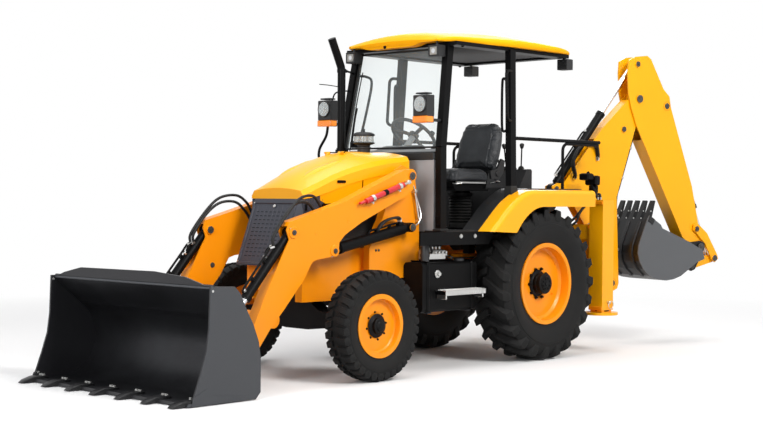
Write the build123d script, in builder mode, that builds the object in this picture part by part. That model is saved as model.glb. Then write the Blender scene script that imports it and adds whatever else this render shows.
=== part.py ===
from build123d import *
from math import atan2, cos, degrees, hypot, radians, sin
import os

os.makedirs("parts", exist_ok=True)

# Backhoe loader. Millimetres, +X forward, +Y the machine's left, +Z up, ground at z = 0.
# Sketch coordinates on the side, deck and cross planes are counted from the rear axle.

# ---------------------------------------------------------------- driving dimensions
rear_axle_x = -648            # rear axle, behind the middle of the machine's length
wheelbase = 1996
gap = 0.6                     # side gap between a moving boss and its ears
pin_gap = 1.0                 # radial gap between a turning bore and its pin
rest = 0.3                    # gap between faces that rest on each other

rear_tyre_r = 620
rear_tyre_w = 378
rear_track_half = 606
rear_seat_r = 305             # bead seat radius
rear_flange_r = 330
front_tyre_r = 397
front_tyre_w = 205
front_track_half = 730
front_seat_r = 203
front_flange_r = 228
kingpin_y = 585
bead_share = 0.72            # bead width as a share of the tyre's
axle_beam_w = 120

rail_in = 230                 # chassis rails, inner and outer faces
rail_out = 300
rail_bottom = 560
rail_top = 760
rear_rail_bottom = 715
rear_rail_top = 860
front_rail_top = 930
frame_front = wheelbase + 294   # the nose hangs in front of the axle
frame_rear = -770

tower_out = 400               # outer face of a loader tower
arm_w = 90
arm_y = tower_out + 10 + arm_w / 2      # middle of a loader arm
arm_plate = 9
arm_pivot = (1350, 1475)
lift_base = (1340, 1085)
lift_pin = (2159, 925)
lift_slot = (2085, 1000)      # room for the lift rod in the raised arm
knee_pin = (2560, 1062)
bucket_hinge = (2950, 250)
crowd_pin = (3085, 470)
ram_r = 40
rod_r = 24
arm_pin_r = 24
gland = 70                    # from a shut ram's rod eye back to its barrel's end

bucket_half = 893
bucket_plate = 16
shell_t = 14
shell_centre = (3520, 300)
shell_r = 280                 # inside of the loader bucket's round back
shell_floor = 20              # inside of its floor

deck_top = 1050
deck_half = 640
hood_half = 340
hood_seam = 1680              # between the fixed cowl and the bonnet
hood_rear = 1215
hinge_z = 1650                # bonnet hinge
hinge_r = 8
hood_rows = [                 # station, half width, lower edge, side crease and top
    (hood_rear, hood_half, 1520, 1590, 1664),
    (1450, hood_half - 10, 1484, 1562, 1662),
    (hood_seam, hood_half - 26, 1440, 1520, 1640),
    (2000, hood_half - 44, 1352, 1424, 1534),
    (2180, hood_half - 52, 1306, 1352, 1446),
    (2266, hood_half - 60, 1296, 1318, 1376),
]
post = 56
seat_axis = (205, 0)
seat_bottom = deck_top + 320
wheel_axis = ((940, 1640), (800, 1800))
wheel_reach = 208             # from the dashboard to the steering wheel

stab_y = 680
stab_w = 140
stab_front = -780
stab_back = -940
stab_top = 1300
stab_bottom = 360
beam_front = -800
beam_back = -890
carriage_back = -935
carriage_half = 210
beams = ((430, 520), (960, 1060))     # low and high rail of the rear frame: bottom, top
wall = 10                     # wall of the stabiliser tubes
lug_low = (380, 430)
lug_high = (602, 650)
king_r = 34
boss_r = 75

# backhoe plane: turned toward the left about the kingpost
slew_deg = 15
kingpost_x = -1197
kingpost_y = 381
boom_foot = (150, 560)
dipper_pin = (430, 2212)
boom_ram_base = (-60, 900)
boom_ram_pin = (265, 1936)
dipper_ram_base = (-490, 1400)
dipper_ram_pin = (405, 2523)
hoe_ram_base = (760, 2160)
lever_pin = (1115, 1042)
hoe_pin = (1165, 875)
tip_pin = (1345, 768)
link_pin = (1060, 700)
boom_half = 52                # outer half widths
boom_plate = 10
dipper_half = boom_half + 18    # its plates pass outside the boom
dipper_plate = 12
hoe_half = 245
hoe_ram_r = 38
hoe_side = 12
tongue = 24                   # half of the room for the boom ram's eye
foot_half = boom_half - boom_plate - 5
lever_half = dipper_half + 8
hoe_pin_r = 22


# ---------------------------------------------------------------- planes and small makers
def side(y):
    """Plane facing the right: sketch x is forward of the rear axle, sketch y is height."""
    return Plane(origin=(rear_axle_x, y, 0), x_dir=(1, 0, 0), z_dir=(0, -1, 0))


def deck(z):
    """Plane facing up: sketch x is forward of the rear axle, sketch y is to the left."""
    return Plane(origin=(rear_axle_x, 0, z), x_dir=(1, 0, 0), z_dir=(0, 0, 1))


def cross(x):
    """Plane facing forward: sketch x is to the left, sketch y is height."""
    return Plane(origin=(rear_axle_x + x, 0, 0), x_dir=(0, 1, 0), z_dir=(1, 0, 0))


def hoe(offset=0):
    """The backhoe's plane: sketch x is reach behind the kingpost, sketch y is height."""
    s, c = sin(radians(slew_deg)), cos(radians(slew_deg))
    origin = (rear_axle_x + kingpost_x + s * offset, kingpost_y + c * offset, 0)
    return Plane(origin=origin, x_dir=(-c, s, 0), z_dir=(s, c, 0))


def at(x, y, z):
    return (rear_axle_x + x, y, z)


def slab(plane, points, thick, rounding=0, mode=Mode.ADD):
    """A plate of a closed outline, half of its thickness on each side of the plane."""
    with BuildSketch(plane) as profile:
        with BuildLine():
            Polyline(*points, close=True)
        make_face()
        if rounding:
            fillet(profile.vertices(), rounding)
    extrude(profile.sketch, amount=thick / 2, both=True, mode=mode)


def disc(plane, centre, radius, thick, mode=Mode.ADD):
    """A round boss, pin or bore across the plane."""
    with BuildSketch(plane) as profile:
        with Locations(centre):
            Circle(radius)
    extrude(profile.sketch, amount=thick / 2, both=True, mode=mode)


def bar(plane, start, end, radius, mode=Mode.ADD):
    """A round rod between two points of a plane."""
    a = plane.from_local_coords(Vector(*start, 0))
    b = plane.from_local_coords(Vector(*end, 0))
    with BuildSketch(Plane(origin=a, z_dir=b - a)) as profile:
        Circle(radius)
    extrude(profile.sketch, amount=(b - a).length, mode=mode)


def tube(points, radius, bend):
    """A bent tube through points of the machine."""
    with BuildLine() as path:
        FilletPolyline(*points, radius=bend)
    with BuildSketch(Plane(origin=path.line @ 0, z_dir=path.line % 0)) as profile:
        Circle(radius)
    sweep(profile.sketch, path=path.line)


def along(start, end, distance):
    """The point at a distance from start on the way to end."""
    length = hypot(end[0] - start[0], end[1] - start[1])
    t = distance / length
    return (start[0] + t * (end[0] - start[0]), start[1] + t * (end[1] - start[1]))


def span(start, end):
    return hypot(end[0] - start[0], end[1] - start[1])


def ring_points(centre, radius, first_deg, last_deg, count):
    """Points of an arc, for an outline."""
    step = (last_deg - first_deg) / (count - 1)
    return [
        (centre[0] + radius * cos(radians(first_deg + step * i)),
         centre[1] + radius * sin(radians(first_deg + step * i)))
        for i in range(count)
    ]


def strip(plane, points, thick, width, mode=Mode.ADD):
    """A plate bent along an open line of points, its thickness to the line's left."""
    inner = [Vector(*p) for p in points]
    normals = []
    for a, b in zip(inner, inner[1:]):
        d = (b - a).normalized()
        normals.append(Vector(-d.Y, d.X))
    outer = [inner[0] + normals[0] * thick]
    for k in range(1, len(inner) - 1):
        mean = (normals[k - 1] + normals[k]).normalized()
        outer.append(inner[k] + mean * (thick / mean.dot(normals[k])))
    outer.append(inner[-1] + normals[-1] * thick)
    loop = [(p.X, p.Y) for p in inner] + [(p.X, p.Y) for p in reversed(outer)]
    slab(plane, loop, width, mode=mode)


def keep(part, name):
    part.label = name
    export_step(part, f"parts/{name}.step")


# ---------------------------------------------------------------- wheels
def tyre(x, z, y, radius, width, seat_r, flange_r):
    """A tyre as a ring with bulged walls, bead to bead."""
    half = width / 2
    bead = bead_share * half
    shoulder = radius - 0.16 * (radius - seat_r)
    wall = (shoulder + flange_r) / 2
    with BuildPart() as ring:
        with BuildSketch(cross(x)) as profile:
            with BuildLine():
                Polyline((y - bead, z + flange_r + 2), (y - bead, z + seat_r), (y + bead, z + seat_r),
                         (y + bead, z + flange_r + 2))
                ThreePointArc((y + bead, z + flange_r + 2), (y + half, z + wall),
                              (y + 0.92 * half, z + shoulder))
                ThreePointArc((y + 0.92 * half, z + shoulder), (y + 0.8 * half, z + 0.98 * radius),
                              (y + 0.6 * half, z + radius - 3))
                ThreePointArc((y + 0.6 * half, z + radius - 3), (y, z + radius),
                              (y - 0.6 * half, z + radius - 3))
                ThreePointArc((y - 0.6 * half, z + radius - 3), (y - 0.8 * half, z + 0.98 * radius),
                              (y - 0.92 * half, z + shoulder))
                ThreePointArc((y - 0.92 * half, z + shoulder), (y - half, z + wall),
                              (y - bead, z + flange_r + 2))
            make_face()
        revolve(axis=Axis(at(x, 0, z), (0, 1, 0)))
    return ring.part


def rim(x, z, y, sign, seat_r, flange_r, half, dish, hub_r, hub_out, hole_r):
    """A rim with flanges, a drop centre and a dished disc; sign is the outer side."""
    lip = flange_r - seat_r
    well = seat_r - 0.09 * seat_r
    sheet = 8
    outline = [
        (-half, seat_r - 1), (-half, flange_r), (-half - sheet, flange_r),
        (-half - sheet, seat_r - sheet - 1), (-half * 0.45, seat_r - sheet - 4), (-half * 0.3, well),
        (dish - sheet, well), (dish - 0.9 * sheet, hub_r + 30), (dish - 14, hub_r),
        (dish - 14, hole_r), (dish, hole_r), (dish, hub_r + 4),
        (dish + 12, hub_r + 40), (dish + 12, well - lip * 0.2), (half * 0.55, seat_r - sheet - 4),
        (half + sheet, seat_r - sheet - 1), (half + sheet, flange_r), (half, flange_r),
        (half, seat_r - 1), (half * 0.5, seat_r - 3), (half * 0.4, well + sheet),
        (-half * 0.25, well + sheet), (-half * 0.4, seat_r - 3),
    ]
    with BuildPart() as wheel:
        with BuildSketch(cross(x)):
            with BuildLine():
                Polyline(*[(y + sign * a, z + r) for a, r in outline], close=True)
            make_face()
        revolve(axis=Axis(at(x, 0, z), (0, 1, 0)))
        disc(side(y + sign * (dish + hub_out / 2)), (x, z), hub_r - 6, hub_out)
        disc(side(y + sign * (dish + hub_out + 6)), (x, z), hub_r - 26, 14)
    return wheel.part


front_half = front_tyre_w / 2
rear_half = rear_tyre_w / 2
for name, sign in (("left", 1), ("right", -1)):
    y = sign * front_track_half
    keep(tyre(wheelbase, front_tyre_r, y, front_tyre_r, front_tyre_w, front_seat_r, front_flange_r),
         f"tyre_front_{name}")
    keep(rim(wheelbase, front_tyre_r, y, sign, front_seat_r, front_flange_r, bead_share * front_half, 22,
             62, 46, 28 + gap),
         f"rim_front_{name}")
    y = sign * rear_track_half
    keep(tyre(0, rear_tyre_r, y, rear_tyre_r, rear_tyre_w, rear_seat_r, rear_flange_r), f"tyre_rear_{name}")
    keep(rim(0, rear_tyre_r, y, sign, rear_seat_r, rear_flange_r, bead_share * rear_half, 46, 84, 90,
             58 + gap),
         f"rim_rear_{name}")

# ---------------------------------------------------------------- axles and knuckles
knuckle_low = front_tyre_r - 95
knuckle_high = front_tyre_r + 95
with BuildPart() as front_axle:
    slab(cross(wheelbase), [(-kingpin_y + 60, 350), (-300, 350), (-120, 330), (120, 330), (300, 350),
                            (kingpin_y - 60, 350), (kingpin_y - 60, 450), (240, 470), (120, 545),
                            (-120, 545), (-240, 470), (-kingpin_y + 60, 450)], axle_beam_w)
    for sign in (-1, 1):
        slab(cross(wheelbase), [(sign * (kingpin_y - 61), 372), (sign * kingpin_y, 372),
                                (sign * kingpin_y, 424), (sign * (kingpin_y - 61), 424)], 84)
        disc(deck(398), (wheelbase, sign * kingpin_y), 44, 52)
        disc(deck(398), (wheelbase, sign * kingpin_y), 20 + pin_gap, 200, mode=Mode.SUBTRACT)
    slab(side(0), [(wheelbase - 60, 540), (wheelbase - 100, 620), (wheelbase + 100, 620),
                   (wheelbase + 60, 540)], 2 * rail_in)
keep(front_axle.part, "front_axle")

for name, sign in (("left", 1), ("right", -1)):
    ky = sign * kingpin_y
    with BuildPart() as knuckle:
        disc(deck(398), (wheelbase, ky), 20, 150)
        for z in (349, 447):
            disc(deck(z), (wheelbase, ky), 44, 44)
        slab(cross(wheelbase), [(ky, 327), (ky + sign * 78, 340), (ky + sign * 78, 456),
                                (ky, 469), (ky, 425), (ky + sign * 52, 425), (ky + sign * 52, 371),
                                (ky, 371)], 70)
        disc(side(ky + sign * 118.5), (wheelbase, front_tyre_r), 28, 93)
    keep(knuckle.part, f"knuckle_{name}")

with BuildPart() as rear_axle:
    disc(side(0), (0, rear_tyre_r), 92, 2 * (rear_track_half + 46 - 14 - gap))
    disc(side(0), (0, rear_tyre_r), 58, 2 * (rear_track_half + 46 - gap))
    slab(side(0), [(-150, 520), (0, 440), (160, 500), (210, 620), (150, 740), (-140, 740)], 340, 30)
    for sign in (-1, 1):
        slab(side(sign * 265), [(-80, 560), (80, 560), (80, rear_rail_bottom), (-80, rear_rail_bottom)], 60)
keep(rear_axle.part, "rear_axle")

# ---------------------------------------------------------------- chassis
with BuildPart() as chassis_frame:
    rail = [(frame_rear, rear_rail_bottom), (500, rear_rail_bottom), (620, rail_bottom), (1500, rail_bottom),
            (1560, rail_bottom - 10), (frame_front, rail_bottom - 10), (frame_front, front_rail_top),
            (1250, front_rail_top), (1180, rail_top), (760, rail_top), (660, rear_rail_top),
            (frame_rear, rear_rail_top)]
    for sign in (-1, 1):
        slab(side(sign * (rail_in + rail_out) / 2), rail, rail_out - rail_in)
    # cross members
    for x0, x1, z0, z1 in ((-640, -560, 730, 850), (700, 780, 600, 700), (1300, 1380, 580, 720),
                           (2200, frame_front, 620, 900)):
        slab(side(0), [(x0, z0), (x1, z0), (x1, z1), (x0, z1)], 2 * rail_in + 2)
    # towers that carry the loader arms
    tower = [(1150, 700), (1157, 1177), (1200, 1440), (1262, 1530), (1350, 1556), (1428, 1520),
             (1452, 1440), (1560, 1150), (1700, 930), (1700, 700)]
    core = [(1180, 700), (1185, 1177), (1225, 1400), (1420, 1400), (1530, 1140), (1660, 930), (1660, 700)]
    for sign in (-1, 1):
        slab(side(sign * (tower_out - 8)), tower, 16, 18)
        slab(side(sign * (rail_out + tower_out - 16) / 2), core, tower_out - 16 - rail_out + 2)
        for pin in (arm_pivot, lift_base):
            disc(side(sign * (tower_out + arm_w / 2 + 8)), pin, arm_pin_r, arm_w + 18)
        disc(side(sign * (tower_out + 2)), arm_pivot, 60, 8)
        disc(side(sign * (tower_out + 2)), lift_base, 46, 8)
keep(chassis_frame.part, "chassis_frame")

with BuildPart() as engine_block:
    slab(side(0), [(1400, 780), (2060, 780), (2060, 1180), (1960, 1290), (1500, 1290), (1400, 1200)],
         2 * rail_in - 8, 30)
    slab(side(0), [(1000, 725), (1401, 725), (1401, 900), (1000, 880)], 2 * rail_in - 100)
    for x in (1480, 1960):
        slab(side(0), [(x - 40, 800), (x + 40, 800), (x + 40, 880), (x - 40, 880)], 2 * rail_in)
keep(engine_block.part, "engine_block")

# ---------------------------------------------------------------- bonnet, nose and cowl
def hood_section(x, half, low, crease, top):
    """Half-round hood section: side, crease and crowned top."""
    with BuildSketch(cross(x)) as section:
        with BuildLine():
            Polyline((half, low), (half, crease), (half - 26, crease + 36))
            ThreePointArc((half - 26, crease + 36), (0, top), (26 - half, crease + 36))
            Polyline((26 - half, crease + 36), (-half, crease), (-half, low), (half, low))
        make_face()
    return section.sketch


def hood_skin(first, last, sheet):
    """The hood between two stations: a smooth skin over all its rows, hollow and open below."""
    loft([hood_section(*row) for row in hood_rows])
    inner_first = (hood_rear - 1, *hood_rows[0][1:])
    inner_last = (hood_rows[-1][0] - sheet, *hood_rows[-1][1:])
    inner = [inner_first] + hood_rows[1:-1] + [inner_last]
    hollow = [hood_section(x, half - sheet, low - 40, crease - sheet, top - sheet)
              for x, half, low, crease, top in inner]
    loft(hollow, mode=Mode.SUBTRACT)
    for x0, x1 in ((hood_rear - 400, first), (last, hood_rows[-1][0] + 400)):
        slab(side(0), [(x0, 1000), (x1, 1000), (x1, 2000), (x0, 2000)], 4 * hood_half, mode=Mode.SUBTRACT)


def hinge_half(y, sign, end_z):
    """A knuckle of the bonnet's hinge and the foot it stands on; sign is the side of the seam."""
    x = hood_seam + rest
    disc(side(y), (x, hinge_z), hinge_r, 28)
    slab(side(y), [(x + sign * 0.4, hinge_z), (x + sign * 7, hinge_z + 3), (x + sign * 24, end_z),
                   (x + sign * 24, end_z - 10), (x + sign * 0.4, end_z - 10)], 28)


with BuildPart() as hood_cowl:
    hood_skin(hood_rear, hood_seam, 10)
    # bulkhead behind the engine, closed above by the hood's outline
    slab(side(0), [(hood_rear - 10, deck_top), (hood_rear, deck_top), (hood_rear, 1600),
                   (hood_rear - 10, 1600)], 2 * (rail_out - 1 - rest))
    extrude(hood_section(*hood_rows[0]), amount=-10)
    # flat collars for the exhaust and the pre-cleaner
    disc(deck(1610), (1314, -300), 42, 60)
    disc(deck(1652), (1260, -100), 48, 34)
    for y in (-90, 90):
        hinge_half(y, -1, 1640)
keep(hood_cowl.part, "hood_cowl")

with BuildPart() as bonnet:
    hood_skin(hood_seam + rest, hood_rows[-1][0], 10)
    for y in (-60, 60):
        hinge_half(y, 1, 1634)
keep(bonnet.part, "bonnet")

with BuildPart() as nose_grille:
    with BuildSketch(deck(810)):
        with BuildLine():
            Polyline((2150, -290), (2400, -290), (2452, -240), (2452, 240), (2400, 290), (2150, 290),
                     close=True)
        make_face()
    with BuildSketch(deck(1296 - rest)):
        with BuildLine():
            Polyline((2080, -278), (2230, -278), (2268, -240), (2268, 240), (2230, 278), (2080, 278),
                     close=True)
        make_face()
    loft(ruled=True)
    slab(side(0), [(2000, 800), (frame_front + rest, 800), (frame_front + rest, front_rail_top + rest),
                   (2000, front_rail_top + rest)], 700, mode=Mode.SUBTRACT)
keep(nose_grille.part, "nose_grille")

with BuildPart() as exhaust_stack:
    tube([at(1314, -300, 1640), at(1314, -300, 2330), at(1425, -300, 2560)], 32, 120)
    disc(deck(1664), (1314, -300), 46, 48)
keep(exhaust_stack.part, "exhaust_stack")

with BuildPart() as air_precleaner:
    disc(deck(1702), (1260, -100), 52, 66)
    disc(deck(1775), (1260, -100), 88, 90)
    disc(deck(1835), (1260, -100), 60, 32)
keep(air_precleaner.part, "air_precleaner")

# ---------------------------------------------------------------- tanks and steps
tank_side = [(700, 440), (1330, 440), (1330, 690), (1140, 690), (1140, 820), (700, 820)]
tank_in = tower_out + 4
tank_out = 600
with BuildPart() as fuel_tank:
    slab(side((rail_out + tank_in + 1) / 2), tank_side, tank_in + 1 - rail_out)
    slab(cross(1015), [(tank_in, 440), (tank_out, 440), (tank_out, 820), (tank_in, 820)], 630, 35)
    slab(deck(590), [(720, 600), (1180, 600), (1180, 700), (720, 700)], 26)
keep(fuel_tank.part, "fuel_tank")

with BuildPart() as hydraulic_tank:
    slab(side(-(rail_out + tank_in + 1) / 2), tank_side, tank_in + 1 - rail_out)
    slab(cross(1015), [(-tank_out, 440), (-tank_in, 440), (-tank_in, 820), (-tank_out, 820)], 630, 35)
    slab(deck(590), [(720, -600), (1180, -600), (1180, -700), (720, -700)], 26)
keep(hydraulic_tank.part, "hydraulic_tank")

# ---------------------------------------------------------------- cab floor and fenders
sill_rear = 640
with BuildPart() as cab_floor:
    with BuildSketch(deck(deck_top - 12)) as plan:
        with BuildLine():
            Polyline((-420, -390), (540, -390), (sill_rear, -deck_half), (1148, -deck_half),
                     (1148, deck_half),
                     (sill_rear, deck_half), (540, 390), (-420, 390), close=True)
        make_face()
    extrude(plan.sketch, amount=12)
    for sign in (-1, 1):
        slab(side(sign * (deck_half - 6)), [(sill_rear - 40, 950), (1400, 950), (1400, deck_top),
                                            (sill_rear - 110, deck_top)], 12)
        for x, low in ((-380, rear_rail_top), (400, rear_rail_top), (1060, rail_top)):
            slab(side(sign * (rail_in + rail_out) / 2),
                 [(x - 40, low), (x + 40, low), (x + 40, deck_top - 11),
                 (x - 40, deck_top - 11)], 60)
keep(cab_floor.part, "cab_floor")

def arch(plane, upper, lower, rear, thick, mode=Mode.ADD):
    """A plate between two arches that run level to the rear; both lists start at the front."""
    nose = Vector(upper[1][0] - upper[0][0], upper[1][1] - upper[0][1])
    heel = Vector(lower[0][0] - lower[1][0], lower[0][1] - lower[1][1])
    with BuildSketch(plane) as profile:
        with BuildLine():
            Spline(*upper, tangents=[nose, (-1, 0)])
            Polyline(upper[-1], (rear, upper[-1][1]), (rear, lower[-1][1]), lower[-1])
            Spline(*reversed(lower), tangents=[(1, 0), heel])
            Line(lower[0], upper[0])
        make_face()
    extrude(profile.sketch, amount=thick / 2, both=True, mode=mode)


def below(points, drop):
    """The points of a falling arch moved inward by a sheet's thickness."""
    return [(x - 0.7 * drop * (k < len(points) - 1), z - (0.7 if k < len(points) - 1 else 1) * drop)
            for k, (x, z) in enumerate(points)]


def rolled_arch(top, low, rear, edge, outer, roll):
    """The block under an arch from its inner edge to its outer side, with that side's top rolled."""
    with BuildPart() as block:
        arch(side((edge + outer) / 2), top, low, rear, abs(outer - edge))
        crest = [e for e in block.edges() if abs(e.center().Y - outer) < 1 and e.length > 3 * roll + 200
                 and max((e @ 0).Z, (e @ 1).Z) > top[-1][1] - 1]
        fillet(crest, roll)
    return block.part


cover_edge = 655
fender_out = 800
fender_rear = -600
fender_top = [(754, 1052), (610, 1178), (480, 1281), (330, 1356), (180, 1380)]
fender_low = [(449, 1040), (372, 1125), (286, 1190), (190, 1232), (92, 1245)]
fender_t = 6
roll_r = 38
fender_shapes = []
for sign in (-1, 1):
    edge = sign * (cover_edge + rest)
    skin = rolled_arch(fender_top, fender_low, fender_rear, edge, sign * fender_out, roll_r)
    hollow = rolled_arch(below(fender_top, fender_t), below(fender_low, 200), fender_rear - 20,
                         edge - sign * 5,
                         sign * (fender_out - fender_t), roll_r - fender_t)
    fender_shapes.append((skin, hollow))
with BuildPart() as fenders:
    for skin, hollow in fender_shapes:
        add(skin)
        add(hollow, mode=Mode.SUBTRACT)
keep(fenders.part, "fenders")

with BuildPart() as fender_covers:
    cover = [(640, deck_top + 8), (520, 1166), (400, 1268), (240, 1358), (100, 1392)]
    cover_low = [(640, deck_top), (520, 1154), (396, 1259), (238, 1351), (100, 1386)]
    for sign in (-1, 1):
        arch(side(sign * (cover_edge + 397) / 2), cover, cover_low, fender_rear, cover_edge - 397)
        slab(side(sign * 400), [(640, deck_top), (640, deck_top + 6), (400, 1262), (240, 1352), (100, 1389),
                                (fender_rear, 1389), (fender_rear, 1260), (-420, deck_top)], 6)
keep(fender_covers.part, "fender_covers")

# ---------------------------------------------------------------- canopy
with BuildPart() as canopy_frame:
    for sign in (-1, 1):
        for foot, elbow, head in (
            (at(1060, sign * 540, deck_top + rest), at(1060, sign * 536, 1700), at(930, sign * 490, 2500)),
            (at(330, sign * 640, 1372), at(322, sign * 630, 1600), at(290, sign * 590, 2500)),
        ):
            for a, b in ((foot, elbow), (elbow, head)):
                a, b = Vector(*a), Vector(*b)
                with BuildSketch(Plane(origin=a, x_dir=(0, 1, 0), z_dir=b - a)) as section:
                    Rectangle(post, post + 10)
                extrude(section.sketch, amount=(b - a).length)
        slab(side(sign * 540), [(-480, 2490), (960, 2490), (960, 2520), (-480, 2520)], 120)
        tube([at(296, sign * 612, 2330), at(400, sign * 640, 2330), at(410, sign * 660, 1930),
              at(310, sign * 625, 1930)], 13, 40)
    slab(side(0), [(880, 2490), (960, 2490), (960, 2520), (880, 2520)], 1080)
    slab(side(0), [(-480, 2490), (-400, 2490), (-400, 2520), (-480, 2520)], 1080)
keep(canopy_frame.part, "canopy_frame")

roof_low = 2520
roof_rows = [                 # station, half width, height of the rim and of the crown
    (1052, 470, 2530, 2548), (1010, 515, 2548, 2586), (800, 570, 2566, 2632), (400, 628, 2574, 2662),
    (0, 646, 2574, 2664), (-300, 640, 2566, 2648), (-480, 596, 2550, 2612), (-560, 520, 2532, 2566),
]
with BuildPart() as canopy_roof:
    sections = []
    for x, half, rim_z, crown in roof_rows:
        with BuildSketch(cross(x)) as section:
            with BuildLine():
                Line((-half, roof_low), (half, roof_low))
                ThreePointArc((half, roof_low), (half + 7, (roof_low + rim_z) / 2), (half - 12, rim_z))
                ThreePointArc((half - 12, rim_z), (0, crown), (12 - half, rim_z))
                ThreePointArc((12 - half, rim_z), (-half - 7, (roof_low + rim_z) / 2), (-half, roof_low))
            make_face()
        sections.append(section.sketch)
    loft(sections)
    # visor between the front lamps
    visor = [(-400, 2524), (-340, 2514), (-300, 2503), (-250, 2496), (190, 2496), (240, 2503), (280, 2514),
             (340, 2524)]
    slab(cross(1008), visor, 80)
keep(canopy_roof.part, "canopy_roof")

with BuildPart() as windscreen:
    glass = Plane(origin=at(1062, 0, 1690), x_dir=(0, 1, 0), z_dir=Vector(795, 0, 130))
    with BuildSketch(glass) as pane:
        with BuildLine():
            Polyline((-507, 10), (507, 10), (461, 800), (-461, 800), close=True)
        make_face()
    extrude(pane.sketch, amount=3, both=True)
keep(windscreen.part, "windscreen")

with BuildPart() as dashboard:
    slab(side(0), [(1040, deck_top), (1090, deck_top), (1090, 1640), (1030, 1690), (1000, 1660),
                   (1040, 1600)], 980)
    slab(side(0), [(860, 1500), (1045, 1450), (1045, 1640), (900, 1700)], 420)
    bar(side(0), (950, deck_top), (950, 1560), 45)
    bar(side(0), wheel_axis[0], along(*wheel_axis, wheel_reach - rest), 26)
keep(dashboard.part, "dashboard")

with BuildPart() as steering_wheel:
    tilt = Vector(wheel_axis[1][0] - wheel_axis[0][0], 0, wheel_axis[1][1] - wheel_axis[0][1])
    centre = along(*wheel_axis, wheel_reach)
    hub = Plane(origin=at(centre[0], 0, centre[1]), x_dir=(0, 1, 0), z_dir=tilt)
    with BuildSketch(Plane(origin=hub.origin, x_dir=hub.x_dir, z_dir=hub.y_dir)) as grip:
        with Locations((190, -19)):
            Circle(14)
    revolve(grip.sketch, axis=Axis(hub.origin, hub.z_dir))
    with BuildSketch(hub) as boss:
        Circle(42)
    extrude(boss.sketch, amount=34)
    with BuildSketch(hub.offset(12)) as spokes:
        with PolarLocations(0, 3, start_angle=90):
            with Locations((100, 0)):
                Rectangle(180, 30)
    extrude(spokes.sketch, amount=14)
keep(steering_wheel.part, "steering_wheel")

# ---------------------------------------------------------------- seat
with BuildPart() as seat_base:
    pillar = seat_bottom - rest - deck_top
    disc(deck(deck_top + pillar / 2), seat_axis, 80, pillar)
    disc(deck(deck_top + 9), seat_axis, 150, 18)
keep(seat_base.part, "seat_base")
with BuildPart() as seat_frame:
    slab(deck(seat_bottom + 9), [(60, -180), (480, -180), (480, 180), (60, 180)], 18)
    slab(side(0), [(100, seat_bottom + 18), (460, seat_bottom + 18), (480, seat_bottom + 78),
                   (60, seat_bottom + 78)], 300)
    slab(side(0), [(-50, seat_bottom + 18), (100, seat_bottom + 18), (100, seat_bottom + 78),
                   (-12.4, seat_bottom + 78), (-118.3, seat_bottom + 430), (-160, seat_bottom + 430)], 120)
keep(seat_frame.part, "seat_frame")
with BuildPart() as seat_cushion:
    slab(side(0), [(60, seat_bottom + 78 + rest), (560, seat_bottom + 78 + rest), (570, seat_bottom + 190),
                   (110, seat_bottom + 170)], 480, 20)
keep(seat_cushion.part, "seat_cushion")
with BuildPart() as seat_back:
    slab(side(0), [(92, seat_bottom + 178), (-40, seat_bottom + 590), (-128, seat_bottom + 590),
                   (-136, seat_bottom + 490), (-42, seat_bottom + 178)], 470)
keep(seat_back.part, "seat_back")

with BuildPart() as rear_console:
    slab(side(0), [(-400, deck_top), (-230, deck_top), (-230, 1400), (-330, 1560), (-400, 1560)], 560, 20)
keep(rear_console.part, "rear_console")

with BuildPart() as rear_rails:
    for sign in (-1, 1):
        bar(side(sign * 604), (281, 1795), (-920, 1795), 15)
        tube([at(-400, sign * 604, 1392 + rest), at(-400, sign * 604, 1770), at(-900, sign * 604, 1770)],
             13, 60)
keep(rear_rails.part, "rear_rails")

# ---------------------------------------------------------------- lamps
with BuildPart() as lamps:
    for sign in (-1, 1):
        slab(side(sign * 524), [(1205, 1930), (1290, 1930), (1290, 2090), (1205, 2090)], 140, 8)
        slab(side(sign * 524), [(1215, 1880), (1290, 1880), (1290, 1929.5), (1215, 1929.5)], 150, 4)
        bar(side(sign * 526), (1062.5, 1905), (1217, 1905), 12)
        for x, y in ((1020, 453), (-530, 520)):
            disc(deck(2504.5), (x, sign * y), 9, 31)
            slab(side(sign * y), [(x - 40, 2400), (x + 40, 2400), (x + 40, 2490), (x - 40, 2490)], 100, 8)
keep(lamps.part, "lamps")

# ---------------------------------------------------------------- loader arms
arm_upper = [(1300, 1475), (1330, 1515), (1425, 1520), (2056, 1278), (2373, 1192), (2592, 1136), (2624, 1080),
             (2596, 1010), (2640, 940), (2828, 610), (3000, 268), (2990, 215), (2930, 200), (2762, 409),
             (2643, 527), (2456, 728), (2375, 852), (2322, 868), (2210, 880), (2120, 900), (2110, 985),
             (2055, 1038), (1881, 1130), (1423, 1318), (1340, 1370)]
with BuildPart() as loader_arms:
    for sign in (-1, 1):
        mid = side(sign * arm_y)
        slab(mid, arm_upper, arm_w, 18)
        # the box is hollow where a ram's eye enters it
        hollow = arm_w - 2 * arm_plate
        disc(mid, lift_pin, 92, hollow, mode=Mode.SUBTRACT)
        disc(mid, lift_slot, 62, hollow, mode=Mode.SUBTRACT)
        disc(mid, knee_pin, 66, hollow, mode=Mode.SUBTRACT)
        a, b = Vector(*knee_pin), Vector(*along(knee_pin, crowd_pin, 330))
        n = Vector(a.Y - b.Y, b.X - a.X).normalized() * 66
        slab(mid, [(p.X, p.Y) for p in (a + n, b + n, b - n, a - n)], hollow, mode=Mode.SUBTRACT)
        for centre in (arm_pivot, bucket_hinge):
            disc(mid, centre, 52, arm_w)
            disc(mid, centre, arm_pin_r + pin_gap, arm_w + 4, mode=Mode.SUBTRACT)
        for centre in (lift_pin, knee_pin):
            for edge in (-1, 1):
                disc(side(sign * arm_y + edge * (arm_w / 2 + 3)), centre, 34, 10)
    bar(Plane(origin=at(2700, 0, 455), x_dir=(0, 1, 0), z_dir=(1, 0, 0)), (-arm_y, 0), (arm_y, 0), 57)
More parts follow.
